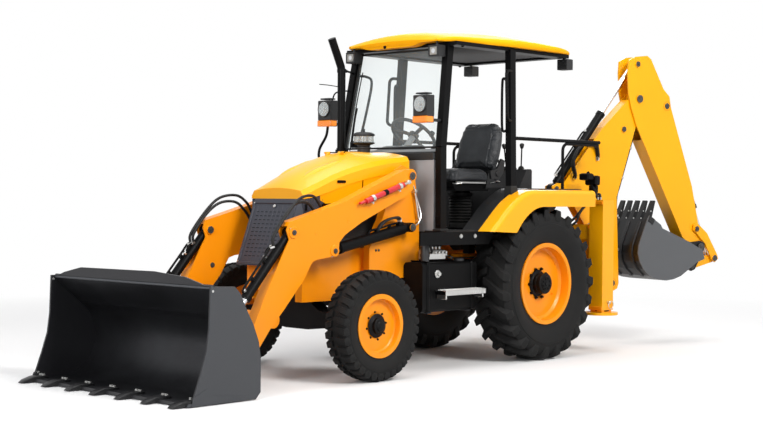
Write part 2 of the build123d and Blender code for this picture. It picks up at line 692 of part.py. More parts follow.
keep(loader_arms.part, "loader_arms")


def ram_barrel(plane, base, tip, closed, radius, eye_w, eye_r, neck, rod, bore):
    """A ram's bored barrel from its base eye; closed is the distance between its eyes when shut."""
    disc(plane, base, eye_r, eye_w)
    bar(plane, along(base, tip, 0.6 * eye_r), along(base, tip, neck + 8), 0.34 * eye_w + 4)
    bar(plane, along(base, tip, neck), along(base, tip, closed - 75), radius)
    bar(plane, along(base, tip, closed - 100), along(base, tip, closed - gland), radius + 4)
    bar(plane, along(base, tip, closed - gland + 1), along(base, tip, closed - gland - bore), rod + gap,
        mode=Mode.SUBTRACT)


def ram_rod(plane, base, tip, closed, radius, eye_w, eye_r, inside):
    """A ram's rod, partly inside its barrel, with the eye at its end."""
    disc(plane, tip, eye_r, eye_w)
    start = closed - gland - inside
    bar(plane, along(base, tip, start), along(base, tip, span(base, tip) - 0.6 * eye_r), radius)


lift_closed = span(lift_base, lift_pin) - 14
crowd_closed = 672
with BuildPart() as lift_barrels:
    for sign in (-1, 1):
        plane = side(sign * arm_y)
        ram_barrel(plane, lift_base, lift_pin, lift_closed, ram_r, arm_w - 4, 36, 58, rod_r, 512)
        disc(plane, lift_base, arm_pin_r + pin_gap, arm_w + 4, mode=Mode.SUBTRACT)
keep(lift_barrels.part, "lift_ram_barrels")
with BuildPart() as lift_rods:
    for sign in (-1, 1):
        ram_rod(side(sign * arm_y), lift_base, lift_pin, lift_closed, rod_r, 56, 36, 505)
keep(lift_rods.part, "lift_ram_rods")
with BuildPart() as crowd_barrels:
    for sign in (-1, 1):
        ram_barrel(side(sign * arm_y), knee_pin, crowd_pin, crowd_closed, ram_r - 6,
                   arm_w - 2 * arm_plate - 2 * gap, 34, 130, rod_r, 461)
keep(crowd_barrels.part, "crowd_ram_barrels")
with BuildPart() as crowd_rods:
    for sign in (-1, 1):
        ram_rod(side(sign * arm_y), knee_pin, crowd_pin, crowd_closed, rod_r, 56, 38, 356)
keep(crowd_rods.part, "crowd_ram_rods")

# ---------------------------------------------------------------- loader bucket
with BuildPart() as loader_bucket:
    shell = ([(3590, 744)] + ring_points(shell_centre, shell_r, 118, 258, 12)
             + [(3500, shell_floor), (3765, shell_floor)])
    strip(side(0), shell, -shell_t, 2 * bucket_half - 2 * bucket_plate + 2)
    plate = [(3616, 744), (3626, 476), (3645, 340), (3692, 200), (3760, 20), (3765, 5), (3240, 5), (3200, 48),
             (3198, 255), (3216, 373), (3262, 485), (3330, 605), (3372, 690), (3420, 738), (3560, 744)]
    for sign in (-1, 1):
        slab(side(sign * (bucket_half - bucket_plate / 2)), plate, bucket_plate)
    # raised lip
    lip = Plane(origin=at(3584, 0, 730), x_dir=(0, 1, 0), z_dir=(1, 0, 0))
    slab(lip, [(-877, 0), (877, 0), (600, 62), (270, 86), (-560, 80), (-760, 40)], 12)
    # ears for the arms and the crowd rams
    ear = [(2950, 204), (3250, 60), (3420, 60), (3300, 640), (3240, 620), (3130, 500), (3085, 516),
           (3045, 495),
           (2906, 262), (2906, 230)]
    for sign in (-1, 1):
        for edge in (-1, 1):
            offset = sign * arm_y + edge * (arm_w / 2 + gap + 8)
            slab(side(offset), ear, 16)
        disc(side(sign * arm_y), bucket_hinge, arm_pin_r, arm_w + 40)
        for edge in (-1, 1):
            disc(side(sign * arm_y + edge * (arm_w / 2 + 20)), crowd_pin, 28, 12)
    slab(side(0), [(3300, 60), (3420, 60), (3330, 640), (3262, 485), (3215, 300), (3230, 150)],
         2 * arm_y - 140)
    # everything the ears put inside the bucket is cut away again
    inside = ([(3640, 760)] + ring_points(shell_centre, shell_r - 0.5, 118, 258, 12)
              + [(3500, shell_floor + 0.5), (3900, shell_floor + 0.5), (3900, 760)])
    slab(side(0), inside, 2 * bucket_half - 2 * bucket_plate, mode=Mode.SUBTRACT)
    slab(lip, [(-877, -1), (877, -1), (600, 62), (270, 86), (-560, 80), (-760, 40)], 12)
    # cutting edge and teeth
    slab(side(0), [(3700, 4), (3790, 4), (3800, 10), (3790, 26), (3700, 26)], 2 * bucket_half)
    for k in range(7):
        tooth = side(-840 + 280 * k)
        slab(tooth, [(3690, 20), (3690, 42), (3800, 40), (3862, 14), (3862, 5), (3790, 5)], 62)
keep(loader_bucket.part, "loader_bucket")

# ---------------------------------------------------------------- rear frame and stabilisers
with BuildPart() as rear_frame:
    for low, high in beams:
        slab(side(0), [(beam_back, low), (beam_front, low), (beam_front, high), (beam_back, high)],
             2 * (stab_y - stab_w / 2) + 2)
    for sign in (-1, 1):
        with BuildSketch(deck(stab_bottom)) as box:
            with Locations(((stab_front + stab_back) / 2, sign * stab_y)):
                Rectangle(stab_front - stab_back, stab_w)
                Rectangle(stab_front - stab_back - 2 * wall, stab_w - 2 * wall, mode=Mode.SUBTRACT)
        extrude(box.sketch, amount=stab_top - stab_bottom)
        slab(deck(stab_top - 6), [(stab_front, sign * (stab_y - stab_w / 2)),
                                  (stab_front, sign * (stab_y + stab_w / 2)),
                                  (stab_back, sign * (stab_y + stab_w / 2)),
                                  (stab_back, sign * (stab_y - stab_w / 2))], 12)
        slab(side(sign * (rail_in + rail_out) / 2), [(frame_rear, 430), (beam_front - 20, 430),
                                                     (beam_front - 20, 1060),
             (frame_rear, 1060)], rail_out - rail_in)
keep(rear_frame.part, "rear_frame")

for name, sign in (("left", 1), ("right", -1)):
    y = sign * stab_y
    inner = stab_w - 2 * wall - 2 * gap
    depth = stab_front - stab_back - 2 * wall - 2 * gap
    middle = (stab_front + stab_back) / 2
    with BuildPart() as leg:
        with BuildSketch(deck(stab_bottom - 20)) as box:
            with Locations((middle, y)):
                Rectangle(depth, inner)
                Rectangle(depth - 2 * wall, inner - 2 * wall, mode=Mode.SUBTRACT)
        extrude(box.sketch, amount=900)
        disc(deck(stab_bottom - 30), (middle, y), 145, 22)
        disc(deck(stab_bottom - 17), (middle, y), 70, 8)
    keep(leg.part, f"stabiliser_{name}")

# ---------------------------------------------------------------- carriage and kingpost
with BuildPart() as carriage:
    with BuildSketch(deck(400)) as plan:
        with Locations(((carriage_back + beam_back - gap) / 2, kingpost_y)):
            Rectangle(beam_back - gap - carriage_back, 2 * carriage_half)
    extrude(plan.sketch, amount=690)
    # claws over and under the rails
    for low, high in ((beams[0][0] - 26, beams[0][0] - gap), (beams[1][1] + gap, beams[1][1] + 26)):
        for sign in (-1, 1):
            with BuildSketch(deck(low)) as claw:
                with Locations(((carriage_back + beam_front + 30) / 2, kingpost_y + sign * 150)):
                    Rectangle(beam_front - 30 - carriage_back, 90)
            extrude(claw.sketch, amount=high - low)
    for low, high in (lug_low, lug_high):
        slab(deck((low + high) / 2), [(carriage_back + 2, kingpost_y - 150),
                                      (carriage_back + 2, kingpost_y + 150),
             (kingpost_x + 60, kingpost_y + 70), (kingpost_x, kingpost_y + 70), (kingpost_x, kingpost_y - 70),
             (kingpost_x + 60, kingpost_y - 70)], high - low)
        disc(deck((low + high) / 2), (kingpost_x, kingpost_y), boss_r, high - low)
        disc(deck((low + high) / 2), (kingpost_x, kingpost_y), king_r + pin_gap, high - low + 2,
             mode=Mode.SUBTRACT)
    for sign in (-1, 1):
        slab(side(kingpost_y + sign * 100), [(carriage_back + 2, lug_high[1] - 1),
                                             (kingpost_x + 110, lug_high[1] - 1),
             (carriage_back + 2, 900)], 14)
        slab(side(kingpost_y + sign * 100), [(carriage_back + 2, lug_high[0] + 1),
                                             (kingpost_x + 110, lug_high[0] + 1),
             (kingpost_x + 110, lug_low[1] - 1), (carriage_back + 2, lug_low[1] - 1)], 14)
keep(carriage.part, "carriage")

mid = hoe()
with BuildPart() as kingpost:
    disc(Plane(origin=mid.from_local_coords(Vector(0, 515, 0)), z_dir=(0, 0, 1)), (0, 0), king_r, 272)
    low_end, high_start = lug_low[1] + gap, lug_high[0] - gap
    disc(Plane(origin=mid.from_local_coords(Vector(0, (low_end + high_start) / 2, 0)), z_dir=(0, 0, 1)),
         (0, 0), 70,
         high_start - low_end)
    slab(mid, [(0, low_end), (boom_foot[0], 470), (boom_foot[0] + 20, 560), (boom_foot[0], high_start),
               (0, high_start)],
         2 * foot_half)
    disc(mid, boom_foot, 62, 2 * foot_half)
    yoke = [(88, 560), (150, 500), (200, 560), (160, 640), (112, 690), (60, 760), (-20, 912), (-60, 940),
            (-98, 900),
            (-96, 820), (-80, lug_high[1] + gap), (88, lug_high[1] + gap)]
    slab(mid, yoke, 2 * foot_half)
    disc(mid, boom_foot, arm_pin_r + 2, 2 * boom_half)
    # room for the ram between two ears
    slab(mid, [(-200, 800), (20, 770), (130, 700), (400, 560), (400, 1100), (-200, 1100)], 2 * tongue,
         mode=Mode.SUBTRACT)
    disc(mid, boom_ram_base, 22, 2 * foot_half)
keep(kingpost.part, "kingpost")


def box_arm(outline, half, plate, ribs, flanges):
    """Two side plates of one outline, joined by flanges along some of its edges."""
    for sign in (-1, 1):
        slab(hoe(sign * (half - plate / 2)), outline, plate, 12)
    for points in flanges:
        strip(mid, points, plate, 2 * half - 2 * plate + 2)
    for centre, radius in ribs:
        disc(mid, centre, radius, 2 * half - 2 * plate + 2)


# ---------------------------------------------------------------- boom
boom_outline = [(78, 560), (92, 512), (150, 486), (208, 512), (224, 560), (192, 1329), (428, 2021),
                (486, 2180),
                (470, 2250), (430, 2272), (380, 2262), (330, 2215), (31, 1946), (-412, 1440), (-480, 1446),
                (-532, 1420), (-528, 1350), (-440, 1316),
                (-335, 1312), (80, 740)]
with BuildPart() as boom:
    box_arm(boom_outline, boom_half, boom_plate, [],
            [[(224, 640), (192, 1329), (428, 2021), (470, 2140)],
             [(320, 2203), (31, 1946), (-60, 1842)]])
    disc(mid, boom_foot, arm_pin_r + 2 + pin_gap, 2 * boom_half + 2, mode=Mode.SUBTRACT)
    disc(mid, dipper_pin, 56, 2 * boom_half)
    disc(mid, dipper_pin, arm_pin_r + pin_gap, 2 * boom_half + 2, mode=Mode.SUBTRACT)
    disc(mid, dipper_ram_base, 22, 2 * boom_half + 16)
    for sign in (-1, 1):
        disc(hoe(sign * boom_half), boom_ram_pin, 30, 12)
keep(boom.part, "boom")

boom_closed = span(boom_ram_base, boom_ram_pin) - 30
with BuildPart() as boom_ram_barrel:
    ram_barrel(mid, boom_ram_base, boom_ram_pin, boom_closed, 35, 2 * tongue - 4, 42, 112, rod_r, 602)
    disc(mid, boom_ram_base, hoe_pin_r + pin_gap, 100, mode=Mode.SUBTRACT)
keep(boom_ram_barrel.part, "boom_ram_barrel")
with BuildPart() as boom_ram_rod:
    ram_rod(mid, boom_ram_base, boom_ram_pin, boom_closed, rod_r, 50, 34, 595)
keep(boom_ram_rod.part, "boom_ram_rod")

# ---------------------------------------------------------------- dipper
dipper_outline = [(292, 2440), (300, 2550), (380, 2588), (520, 2604), (566, 2574), (718, 2312), (790, 2247),
                  (808, 2150), (1075, 1433), (1160, 1080), (1225, 890), (1205, 830), (1150, 812), (1110, 850),
                  (965, 965), (400, 1972), (335, 2135), (303, 2262)]
with BuildPart() as dipper:
    box_arm(dipper_outline, dipper_half, dipper_plate, [(lever_pin, 26), (hoe_ram_base, hoe_pin_r)],
            [[(1100, 1250), (735, 2120), (560, 2330), (520, 2420)],
             [(472, 1842), (965, 965), (1100, 860)]])
    disc(mid, hoe_pin, 56, 2 * dipper_half)
    disc(mid, hoe_pin, arm_pin_r + pin_gap, 2 * dipper_half + 2, mode=Mode.SUBTRACT)
    disc(mid, dipper_pin, arm_pin_r, 2 * dipper_half + 16)
    disc(mid, lever_pin, 20, 2 * dipper_half + 60)
    for sign in (-1, 1):
        disc(hoe(sign * dipper_half), dipper_ram_pin, 30, 12)
keep(dipper.part, "dipper")

dipper_closed = 930
with BuildPart() as dipper_ram_barrel:
    ram_barrel(mid, dipper_ram_base, dipper_ram_pin, dipper_closed, hoe_ram_r - 2, 60, 42, 64, rod_r, 485)
    disc(mid, dipper_ram_base, hoe_pin_r + pin_gap, 100, mode=Mode.SUBTRACT)
keep(dipper_ram_barrel.part, "dipper_ram_barrel")
with BuildPart() as dipper_ram_rod:
    ram_rod(mid, dipper_ram_base, dipper_ram_pin, dipper_closed, rod_r, 50, 38, 20)
keep(dipper_ram_rod.part, "dipper_ram_rod")

hoe_closed = 1080
with BuildPart() as bucket_ram_barrel:
    ram_barrel(mid, hoe_ram_base, tip_pin, hoe_closed, hoe_ram_r, 60, 42, 64, rod_r - 2, 405)
    disc(mid, hoe_ram_base, hoe_pin_r + pin_gap, 100, mode=Mode.SUBTRACT)
keep(bucket_ram_barrel.part, "bucket_ram_barrel")
with BuildPart() as bucket_ram_rod:
    ram_rod(mid, hoe_ram_base, tip_pin, hoe_closed, rod_r - 2, 50, 36, 20)
keep(bucket_ram_rod.part, "bucket_ram_rod")

# ---------------------------------------------------------------- tipping lever, link and backhoe bucket
with BuildPart() as tipping_lever:
    shape = [(1085, 1080), (1130, 1092), (1250, 1000), (1380, 800), (1392, 760), (1350, 728), (1310, 760),
             (1230, 900), (1120, 1002), (1080, 1030)]
    for sign in (-1, 1):
        slab(hoe(sign * (lever_half + 7)), shape, 14)
        disc(hoe(sign * (lever_half + 9)), tip_pin, 26, 18)
    disc(mid, lever_pin, 20 + pin_gap, 2 * lever_half + 60, mode=Mode.SUBTRACT)
keep(tipping_lever.part, "tipping_lever")

with BuildPart() as tipping_link:
    for sign in (-1, 1):
        cheek = hoe(sign * 46)
        slab(cheek, [(1056, 738), (1340, 806), (1380, 780), (1372, 738), (1340, 728), (1068, 662),
                     (1026, 680), (1028, 722)], 26)
        disc(hoe(sign * 48), tip_pin, 34, 40)
    disc(mid, link_pin, 40, 118)
    disc(mid, link_pin, 22 + pin_gap, 130, mode=Mode.SUBTRACT)
keep(tipping_link.part, "tipping_link")

with BuildPart() as backhoe_bucket:
    skin = [(987, 742), (789, 620), (700, 592), (614, 583), (510, 598), (419, 629), (345, 690), (300, 761),
            (280, 830), (288, 900), (330, 1000), (390, 1135)]
    cheek = [(390, 1135), (412, 1166), (542, 1085), (565, 1051), (894, 925), (1053, 850), (1075, 770),
             (987, 742),
             (789, 620), (700, 592), (614, 583), (510, 598), (419, 629), (345, 690), (300, 761), (280, 830),
             (288, 900),
             (330, 1000)]
    for sign in (-1, 1):
        slab(hoe(sign * (hoe_half - hoe_side / 2)), cheek, hoe_side)
    strip(mid, skin, -12, 2 * hoe_half - 2)
    # ears that straddle the dipper and the link
    ears = [(987, 742), (1020, 670), (1060, 652), (1104, 668), (1222, 862), (1216, 910), (1165, 930),
            (1120, 925), (900, 905),
            (905, 690)]
    for sign in (-1, 1):
        slab(hoe(sign * (dipper_half + gap + 10)), ears, 20)
    disc(mid, hoe_pin, arm_pin_r, 2 * dipper_half + 60)
    disc(mid, link_pin, 22, 2 * dipper_half + 60)
    # back stiffeners and teeth
    for k in range(5):
        tooth = hoe(-200 + 100 * k)
        slab(tooth, [(372, 1095), (404, 1150), (478, 1300), (492, 1296), (452, 1150), (420, 1100)], 56)
keep(backhoe_bucket.part, "backhoe_bucket")
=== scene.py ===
import math

import bmesh
import bpy
from mathutils import Matrix, Vector


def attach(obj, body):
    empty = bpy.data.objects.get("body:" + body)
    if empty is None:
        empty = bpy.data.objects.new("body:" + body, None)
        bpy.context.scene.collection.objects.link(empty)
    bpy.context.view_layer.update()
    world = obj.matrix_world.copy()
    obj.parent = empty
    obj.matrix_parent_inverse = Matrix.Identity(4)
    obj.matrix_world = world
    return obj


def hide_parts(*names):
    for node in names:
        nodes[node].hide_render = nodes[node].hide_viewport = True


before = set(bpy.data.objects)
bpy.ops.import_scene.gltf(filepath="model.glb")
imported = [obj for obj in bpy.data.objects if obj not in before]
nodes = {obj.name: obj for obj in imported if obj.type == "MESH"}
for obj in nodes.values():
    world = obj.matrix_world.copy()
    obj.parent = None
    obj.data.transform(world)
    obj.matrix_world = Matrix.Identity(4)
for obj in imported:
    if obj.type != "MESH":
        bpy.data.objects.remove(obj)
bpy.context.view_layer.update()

scene = bpy.context.scene
rearAxle = -0.648
wheelbase = 1.996
rearRadius, frontRadius = 0.620, 0.397      # tyres
rearTrack, frontTrack = 0.606, 0.730        # half widths
kingpostX, kingpostY = -1.197, 0.381
stabiliserX = -0.860
leftRight = (("left", 1), ("right", -1))


def place(x, y, z):
    return Vector((rearAxle + x, y, z))


def spots(rows, side=1):
    return [place(x, side * y, z) for x, y, z in rows]


def along(at, rows):
    return [at(*row) for row in rows]


# camera
camera = bpy.data.objects.new("camera", bpy.data.cameras.new("camera"))
scene.collection.objects.link(camera)
scene.camera = camera
camera.data.lens = 68.07
camera.data.sensor_width = 36
yaw, pitch, roll = math.radians(-136.115), math.radians(-0.925), math.radians(0.408)
forward = Vector((math.cos(yaw) * math.cos(pitch), math.sin(yaw) * math.cos(pitch), math.sin(pitch)))
level = forward.cross(Vector((0, 0, 1))).normalized()
upright = level.cross(forward)
right = level * math.cos(roll) + upright * math.sin(roll)
up = upright * math.cos(roll) - level * math.sin(roll)
facing = Matrix((right, up, -forward)).transposed().to_4x4()
camera.matrix_world = Matrix.Translation(place(9.3668, 7.8970, 1.3121)) @ facing


# shader maths
class Signal:
    def __init__(self, maker, socket):
        self.maker = maker
        self.socket = socket

    def maths(self, operation, first, second):
        return self.maker.node("ShaderNodeMath", {0: first, 1: second}, operation=operation)

    def __add__(self, other):
        return self.maths("ADD", self, other)

    def __sub__(self, other):
        return self.maths("SUBTRACT", self, other)

    def __mul__(self, other):
        return self.maths("MULTIPLY", self, other)

    def __truediv__(self, other):
        return self.maths("DIVIDE", self, other)

    def __radd__(self, other):
        return self.maths("ADD", other, self)

    def __rsub__(self, other):
        return self.maths("SUBTRACT", other, self)

    def __rmul__(self, other):
        return self.maths("MULTIPLY", other, self)

    def __rtruediv__(self, other):
        return self.maths("DIVIDE", other, self)

    def power(self, exponent):
        return self.maths("POWER", self, exponent)

    def above(self, edge):
        return self.maths("GREATER_THAN", self, edge)

    def clamped(self):
        return self.maker.node("ShaderNodeClamp", {0: self})

    def ramp(self, low, high):
        return self.maker.node("ShaderNodeMapRange", {0: self, 1: low, 2: high, 3: 0.0, 4: 1.0})


class Material:
    def __init__(self, name, owner=None, output="ShaderNodeOutputMaterial"):
        self.material = owner or bpy.data.materials.new(name)
        self.material.use_nodes = True
        self.tree = self.material.node_tree
        self.tree.nodes.clear()
        self.output = self.tree.nodes.new(output)

    def node(self, kind, inputs=None, out=0, **settings):
        made = self.tree.nodes.new(kind)
        for key, value in settings.items():
            setattr(made, key, value)
        for key, value in (inputs or {}).items():
            socket = made.inputs[key]
            if isinstance(value, Signal):
                self.tree.links.new(value.socket, socket)
            else:
                socket.default_value = value
        return Signal(self, made.outputs[out])

    def coordinates(self, stretch=(1, 1, 1)):
        here = self.node("ShaderNodeTexCoord", out="Object")
        return self.node("ShaderNodeMapping", {"Vector": here, "Scale": stretch})

    def height(self):
        here = self.node("ShaderNodeTexCoord", out="Object")
        return self.node("ShaderNodeSeparateXYZ", {0: here}, out="Z")

    def noise(self, scale, detail=3.0, rough=0.5, stretch=(1, 1, 1)):
        return self.node("ShaderNodeTexNoise", {"Vector": self.coordinates(stretch), "Scale": scale,
                                                "Detail": detail, "Roughness": rough})

    def cells(self, scale, feature="F1"):
        return self.node("ShaderNodeTexVoronoi", {"Vector": self.coordinates(), "Scale": scale},
                         feature=feature)

    def mix(self, share, first, second):
        return self.node("ShaderNodeMix", {0: share, 6: first, 7: second}, out=2, data_type="RGBA")

    def bump(self, height, strength, distance):
        return self.node("ShaderNodeBump", {"Height": height, "Strength": strength, "Distance": distance})

    def finish(self, shader):
        self.tree.links.new(shader.socket, self.output.inputs[0])
        return self.material

    def principled(self, **inputs):
        named = {key.replace("_", " "): value for key, value in inputs.items()}
        return self.finish(self.node("ShaderNodeBsdfPrincipled", named))


def tint(red, green, blue):
    return (red, green, blue, 1.0)


def srgb(red, green, blue):
    return tuple(((c / 255 + 0.055) / 1.055) ** 2.4 if c > 10 else c / 3294.6
                 for c in (red, green, blue)) + (1.0,)


def paintMaterial(name, colour, shade, rough=0.3, coat=0.35, dust=0.10, shine=0.3):
    m = Material(name)
    cloud = m.noise(2.3, 4.0)
    grime = (1.0 - m.height().ramp(0.1, 1.1)) * m.noise(9.0, 5.0, 0.65).ramp(0.42, 0.75) * dust
    base = m.mix(cloud.ramp(0.25, 0.8) * 0.35, colour, shade)
    base = m.mix(grime.clamped(), base, tint(0.22, 0.17, 0.11))
    gloss = rough + 0.12 * (m.noise(5.0, 3.0) - 0.5) + grime * 0.8
    peel = m.noise(420.0, 2.0)
    return m.principled(Base_Color=base, Roughness=gloss.clamped(), Coat_Weight=coat, Coat_Roughness=0.12,
                        Specular_IOR_Level=shine, Normal=m.bump(peel, 0.035, 0.002))


def steelMaterial(name, colour, shade, rough=0.42, metal=0.35, scratch=0.5):
    m = Material(name)
    broad = m.noise(3.2, 5.0, 0.6)
    marks = m.noise(26.0, 3.0, 0.6, (1.0, 1.0, 9.0)).ramp(0.56, 0.72) * scratch
    base = m.mix(broad.ramp(0.3, 0.75), colour, shade)
    base = m.mix(marks.clamped() * 0.5, base, tint(0.19, 0.19, 0.19))
    return m.principled(Base_Color=base, Metallic=metal,
                        Roughness=(rough + 0.2 * (broad - 0.5) + marks * 0.12).clamped(),
                        Normal=m.bump(m.noise(190.0, 3.0), 0.12, 0.002))


def twoToneSteel(name, outer, inner, way, shift, edge):
    m = Material(name)
    here = m.node("ShaderNodeTexCoord", out="Object")
    span = m.node("ShaderNodeVectorMath", {0: here, 1: way}, out="Value", operation="DOT_PRODUCT") + shift
    side = span.maths("ABSOLUTE", span, 0.0).above(edge)
    cloud = m.noise(3.0, 4.0)
    return m.principled(Base_Color=m.mix((side * (1.0 - 0.12 * cloud)).clamped(), inner, outer),
                        Metallic=0.4 * (1.0 - side),
                        Roughness=(0.40 + 0.15 * side + 0.12 * (cloud - 0.5)).clamped(),
                        Normal=m.bump(m.noise(190.0, 3.0), 0.05, 0.002))


def rubberMaterial(name, colour=0.0052, rough=0.7):
    m = Material(name)
    cloud = m.noise(6.0, 5.0, 0.6)
    base = m.mix(cloud.ramp(0.35, 0.8), tint(colour, colour, colour * 1.04),
                 tint(colour * 1.9, colour * 1.85, colour * 1.75))
    fine = m.noise(260.0, 3.0)
    return m.principled(Base_Color=base, Roughness=(rough + 0.16 * (cloud - 0.5)).clamped(),
                        Specular_IOR_Level=0.2, Normal=m.bump(fine, 0.18, 0.002))


def plasticMaterial(name, colour, rough=0.5, grain=700.0, strength=0.18):
    m = Material(name)
    cloud = m.noise(4.0, 3.0)
    shade = tuple(c * 1.45 for c in colour[:3]) + (1.0,)
    return m.principled(Base_Color=m.mix(cloud.ramp(0.3, 0.8) * 0.6, colour, shade),
                        Roughness=(rough + 0.1 * (cloud - 0.5)),
                        Normal=m.bump(m.cells(grain), strength, 0.001))


def vinylMaterial(name):
    m = Material(name)
    cloud = m.noise(7.0, 4.0)
    crease = m.noise(34.0, 5.0, 0.7)
    grain = m.cells(520.0, "DISTANCE_TO_EDGE").ramp(0.0, 0.25)
    base = m.mix(cloud.ramp(0.3, 0.75), tint(0.018, 0.020, 0.023), tint(0.040, 0.043, 0.048))
    relief = grain * 0.4 + crease * 0.8
    return m.principled(Base_Color=base, Roughness=(0.44 + 0.15 * (crease - 0.5)).clamped(),
                        Sheen_Weight=0.04, Specular_IOR_Level=0.3, Normal=m.bump(relief, 0.3, 0.0015))


def chromeMaterial(name, rough=0.1, colour=(0.72, 0.73, 0.75, 1.0)):
    m = Material(name)
    rings = m.noise(60.0, 3.0, 0.6)
    return m.principled(Base_Color=m.mix(rings.ramp(0.3, 0.8) * 0.3, colour, tint(0.45, 0.46, 0.48)),
                        Metallic=1.0, Roughness=(rough + 0.1 * (rings - 0.4)).clamped(),
                        Normal=m.bump(rings, 0.03, 0.001))


def glassMaterial(name, alpha, colour=(0.86, 0.92, 0.93, 1.0), rough=0.03):
    m = Material(name)
    film = m.noise(2.0, 3.0).ramp(0.35, 0.75)
    sheet = m.node("ShaderNodeBsdfPrincipled", {"Base Color": colour, "Roughness": rough + film * 0.05,
                                                "IOR": 1.45, "Specular IOR Level": 0.6})
    clear = m.node("ShaderNodeBsdfTransparent", {"Color": tint(0.96, 0.98, 0.98)})
    facing = m.node("ShaderNodeLayerWeight", {"Blend": 0.25}, out="Fresnel")
    share = (alpha + 0.25 * facing + film * 0.03).clamped()
    return m.finish(m.node("ShaderNodeMixShader", {0: share, 1: clear, 2: sheet}))


def lensMaterial(name, colour, glow=0.0, ribs=90.0):
    m = Material(name)
    flute = m.node("ShaderNodeTexWave", {"Vector": m.coordinates(), "Scale": ribs, "Distortion": 0.4})
    base = m.mix(flute * 0.35, colour, tint(min(colour[0] * 1.6, 1.0), min(colour[1] * 1.6, 1.0),
                                            min(colour[2] * 1.6, 1.0)))
    return m.principled(Base_Color=base, Roughness=0.12 + 0.1 * flute, Coat_Weight=0.6, Emission_Color=base,
                        Emission_Strength=glow, Normal=m.bump(flute, 0.3, 0.001))


yellow = paintMaterial("yellowPaint", srgb(250, 174, 3), srgb(244, 160, 2), 0.32, 0.15)
roofYellow = paintMaterial("roofPaint", srgb(250, 174, 3), srgb(244, 160, 2), 0.48, 0.0, 0.10, 0.12)
# painted shade: a darker, more orange copy of the same yellow paint, given to the frame, loader arms, rims,
# bosses, welds and collars because they sit in shade
yellowShaded = paintMaterial("yellowPaintShaded", srgb(247, 148, 3), srgb(240, 138, 2), 0.36, 0.1)
black = paintMaterial("blackPaint", srgb(8, 8, 9), srgb(11, 11, 12), 0.42, 0.0, 0.02, 0.09)
hubBlack = paintMaterial("hubBlack", srgb(8, 8, 9), srgb(11, 11, 12), 0.5, 0.0, 0.02, 0.14)
grey = plasticMaterial("greyPaint", srgb(46, 48, 58), 0.48, 380.0, 0.08)
panel = plasticMaterial("panelGrey", srgb(152, 154, 156), 0.5, 300.0, 0.12)
bucketSteel = steelMaterial("bucketSteel", srgb(62, 64, 68), srgb(70, 72, 76), 0.5, 0.1, 0.1)
bucketDark = steelMaterial("bucketDark", srgb(42, 42, 45), srgb(54, 55, 58), 0.36, 0.75, 0.08)
loaderSteel = twoToneSteel("loaderSteel", srgb(54, 56, 60), srgb(40, 40, 43), (0, 1, 0), 0.0, 0.8885)
diggingSteel = twoToneSteel("diggingSteel", srgb(82, 84, 87), srgb(18, 18, 20), (0.258819, 0.965926, 0),
                            0.1095, 0.2335)
hoeSteel = steelMaterial("hoeSteel", srgb(62, 60, 58), srgb(84, 80, 76), 0.45, 0.4)
toothSteel = steelMaterial("toothSteel", srgb(18, 18, 20), srgb(30, 30, 32), 0.42, 0.3, 0.3)
rubber = rubberMaterial("tyreRubber")
hoseRubber = rubberMaterial("hoseRubber", 0.012, 0.5)
plastic = plasticMaterial("blackPlastic", srgb(17, 17, 19))
lining = plasticMaterial("roofLining", srgb(32, 33, 36), 0.7, 200.0, 0.2)
vinyl = vinylMaterial("seatVinyl")
chrome = chromeMaterial("chromeRod")
zinc = chromeMaterial("zincPlate", 0.3, (0.62, 0.62, 0.6, 1.0))
castIron = steelMaterial("castIron", srgb(36, 37, 38), srgb(52, 52, 52), 0.6, 0.4)
redPaint = paintMaterial("redPaint", srgb(196, 40, 44), srgb(180, 30, 36), 0.35, 0.3)
screenGlass = glassMaterial("screenGlass", 0.05)
bowlGlass = glassMaterial("bowlGlass", 0.25, (0.7, 0.72, 0.72, 1.0))
clearLens = lensMaterial("clearLens", (0.34, 0.33, 0.30, 1.0), 0.0)
amberLens = lensMaterial("amberLens", (0.85, 0.22, 0.01, 1.0), 0.25)
print("materials made")

nodesOf = {
    plastic: "air_precleaner fender_covers lamps rear_console steering_wheel",
    diggingSteel: "backhoe_bucket",
    yellow: ("bonnet boom dipper carriage fenders hood_cowl kingpost rear_frame stabiliser_left "
             "stabiliser_right tipping_lever tipping_link"),
    black: ("boom_ram_barrel bucket_ram_barrel dipper_ram_barrel cab_floor canopy_frame "
            "crowd_ram_barrels exhaust_stack fuel_tank hydraulic_tank lift_ram_barrels rear_rails "
            "seat_base seat_frame"),
    chrome: "boom_ram_rod bucket_ram_rod dipper_ram_rod crowd_ram_rods lift_ram_rods",
    roofYellow: "canopy_roof",
    # painted shade: these parts take the darker, more orange copy of the yellow paint
    yellowShaded: "chassis_frame loader_arms rim_front_left rim_front_right rim_rear_left rim_rear_right",
    panel: "dashboard",
    castIron: "engine_block",
    hubBlack: "front_axle knuckle_left knuckle_right rear_axle",
    loaderSteel: "loader_bucket",
    grey: "nose_grille",
    vinyl: "seat_back seat_cushion",
    rubber: "tyre_front_left tyre_front_right tyre_rear_left tyre_rear_right",
    screenGlass: "windscreen",
}
for finish, names in nodesOf.items():
    for name in names.split():
        for slot in nodes[name].material_slots:
            slot.material = finish

# the frame's material slot that each finish stands for
finishSlots = {
    black: "black_paint", hubBlack: "black_paint", plastic: "black_plastic", lining: "black_plastic",
    zinc: "chrome_rod", chrome: "chrome_rod", yellow: "yellow_paint", yellowShaded: "yellow_paint",
    hoseRubber: "tyre_rubber", rubber: "tyre_rubber", hoeSteel: "worn_steel", toothSteel: "worn_steel",
    bucketDark: "worn_steel", bucketSteel: "worn_steel", loaderSteel: "worn_steel", castIron: "cast_engine",
    grey: "grey_paint",
}


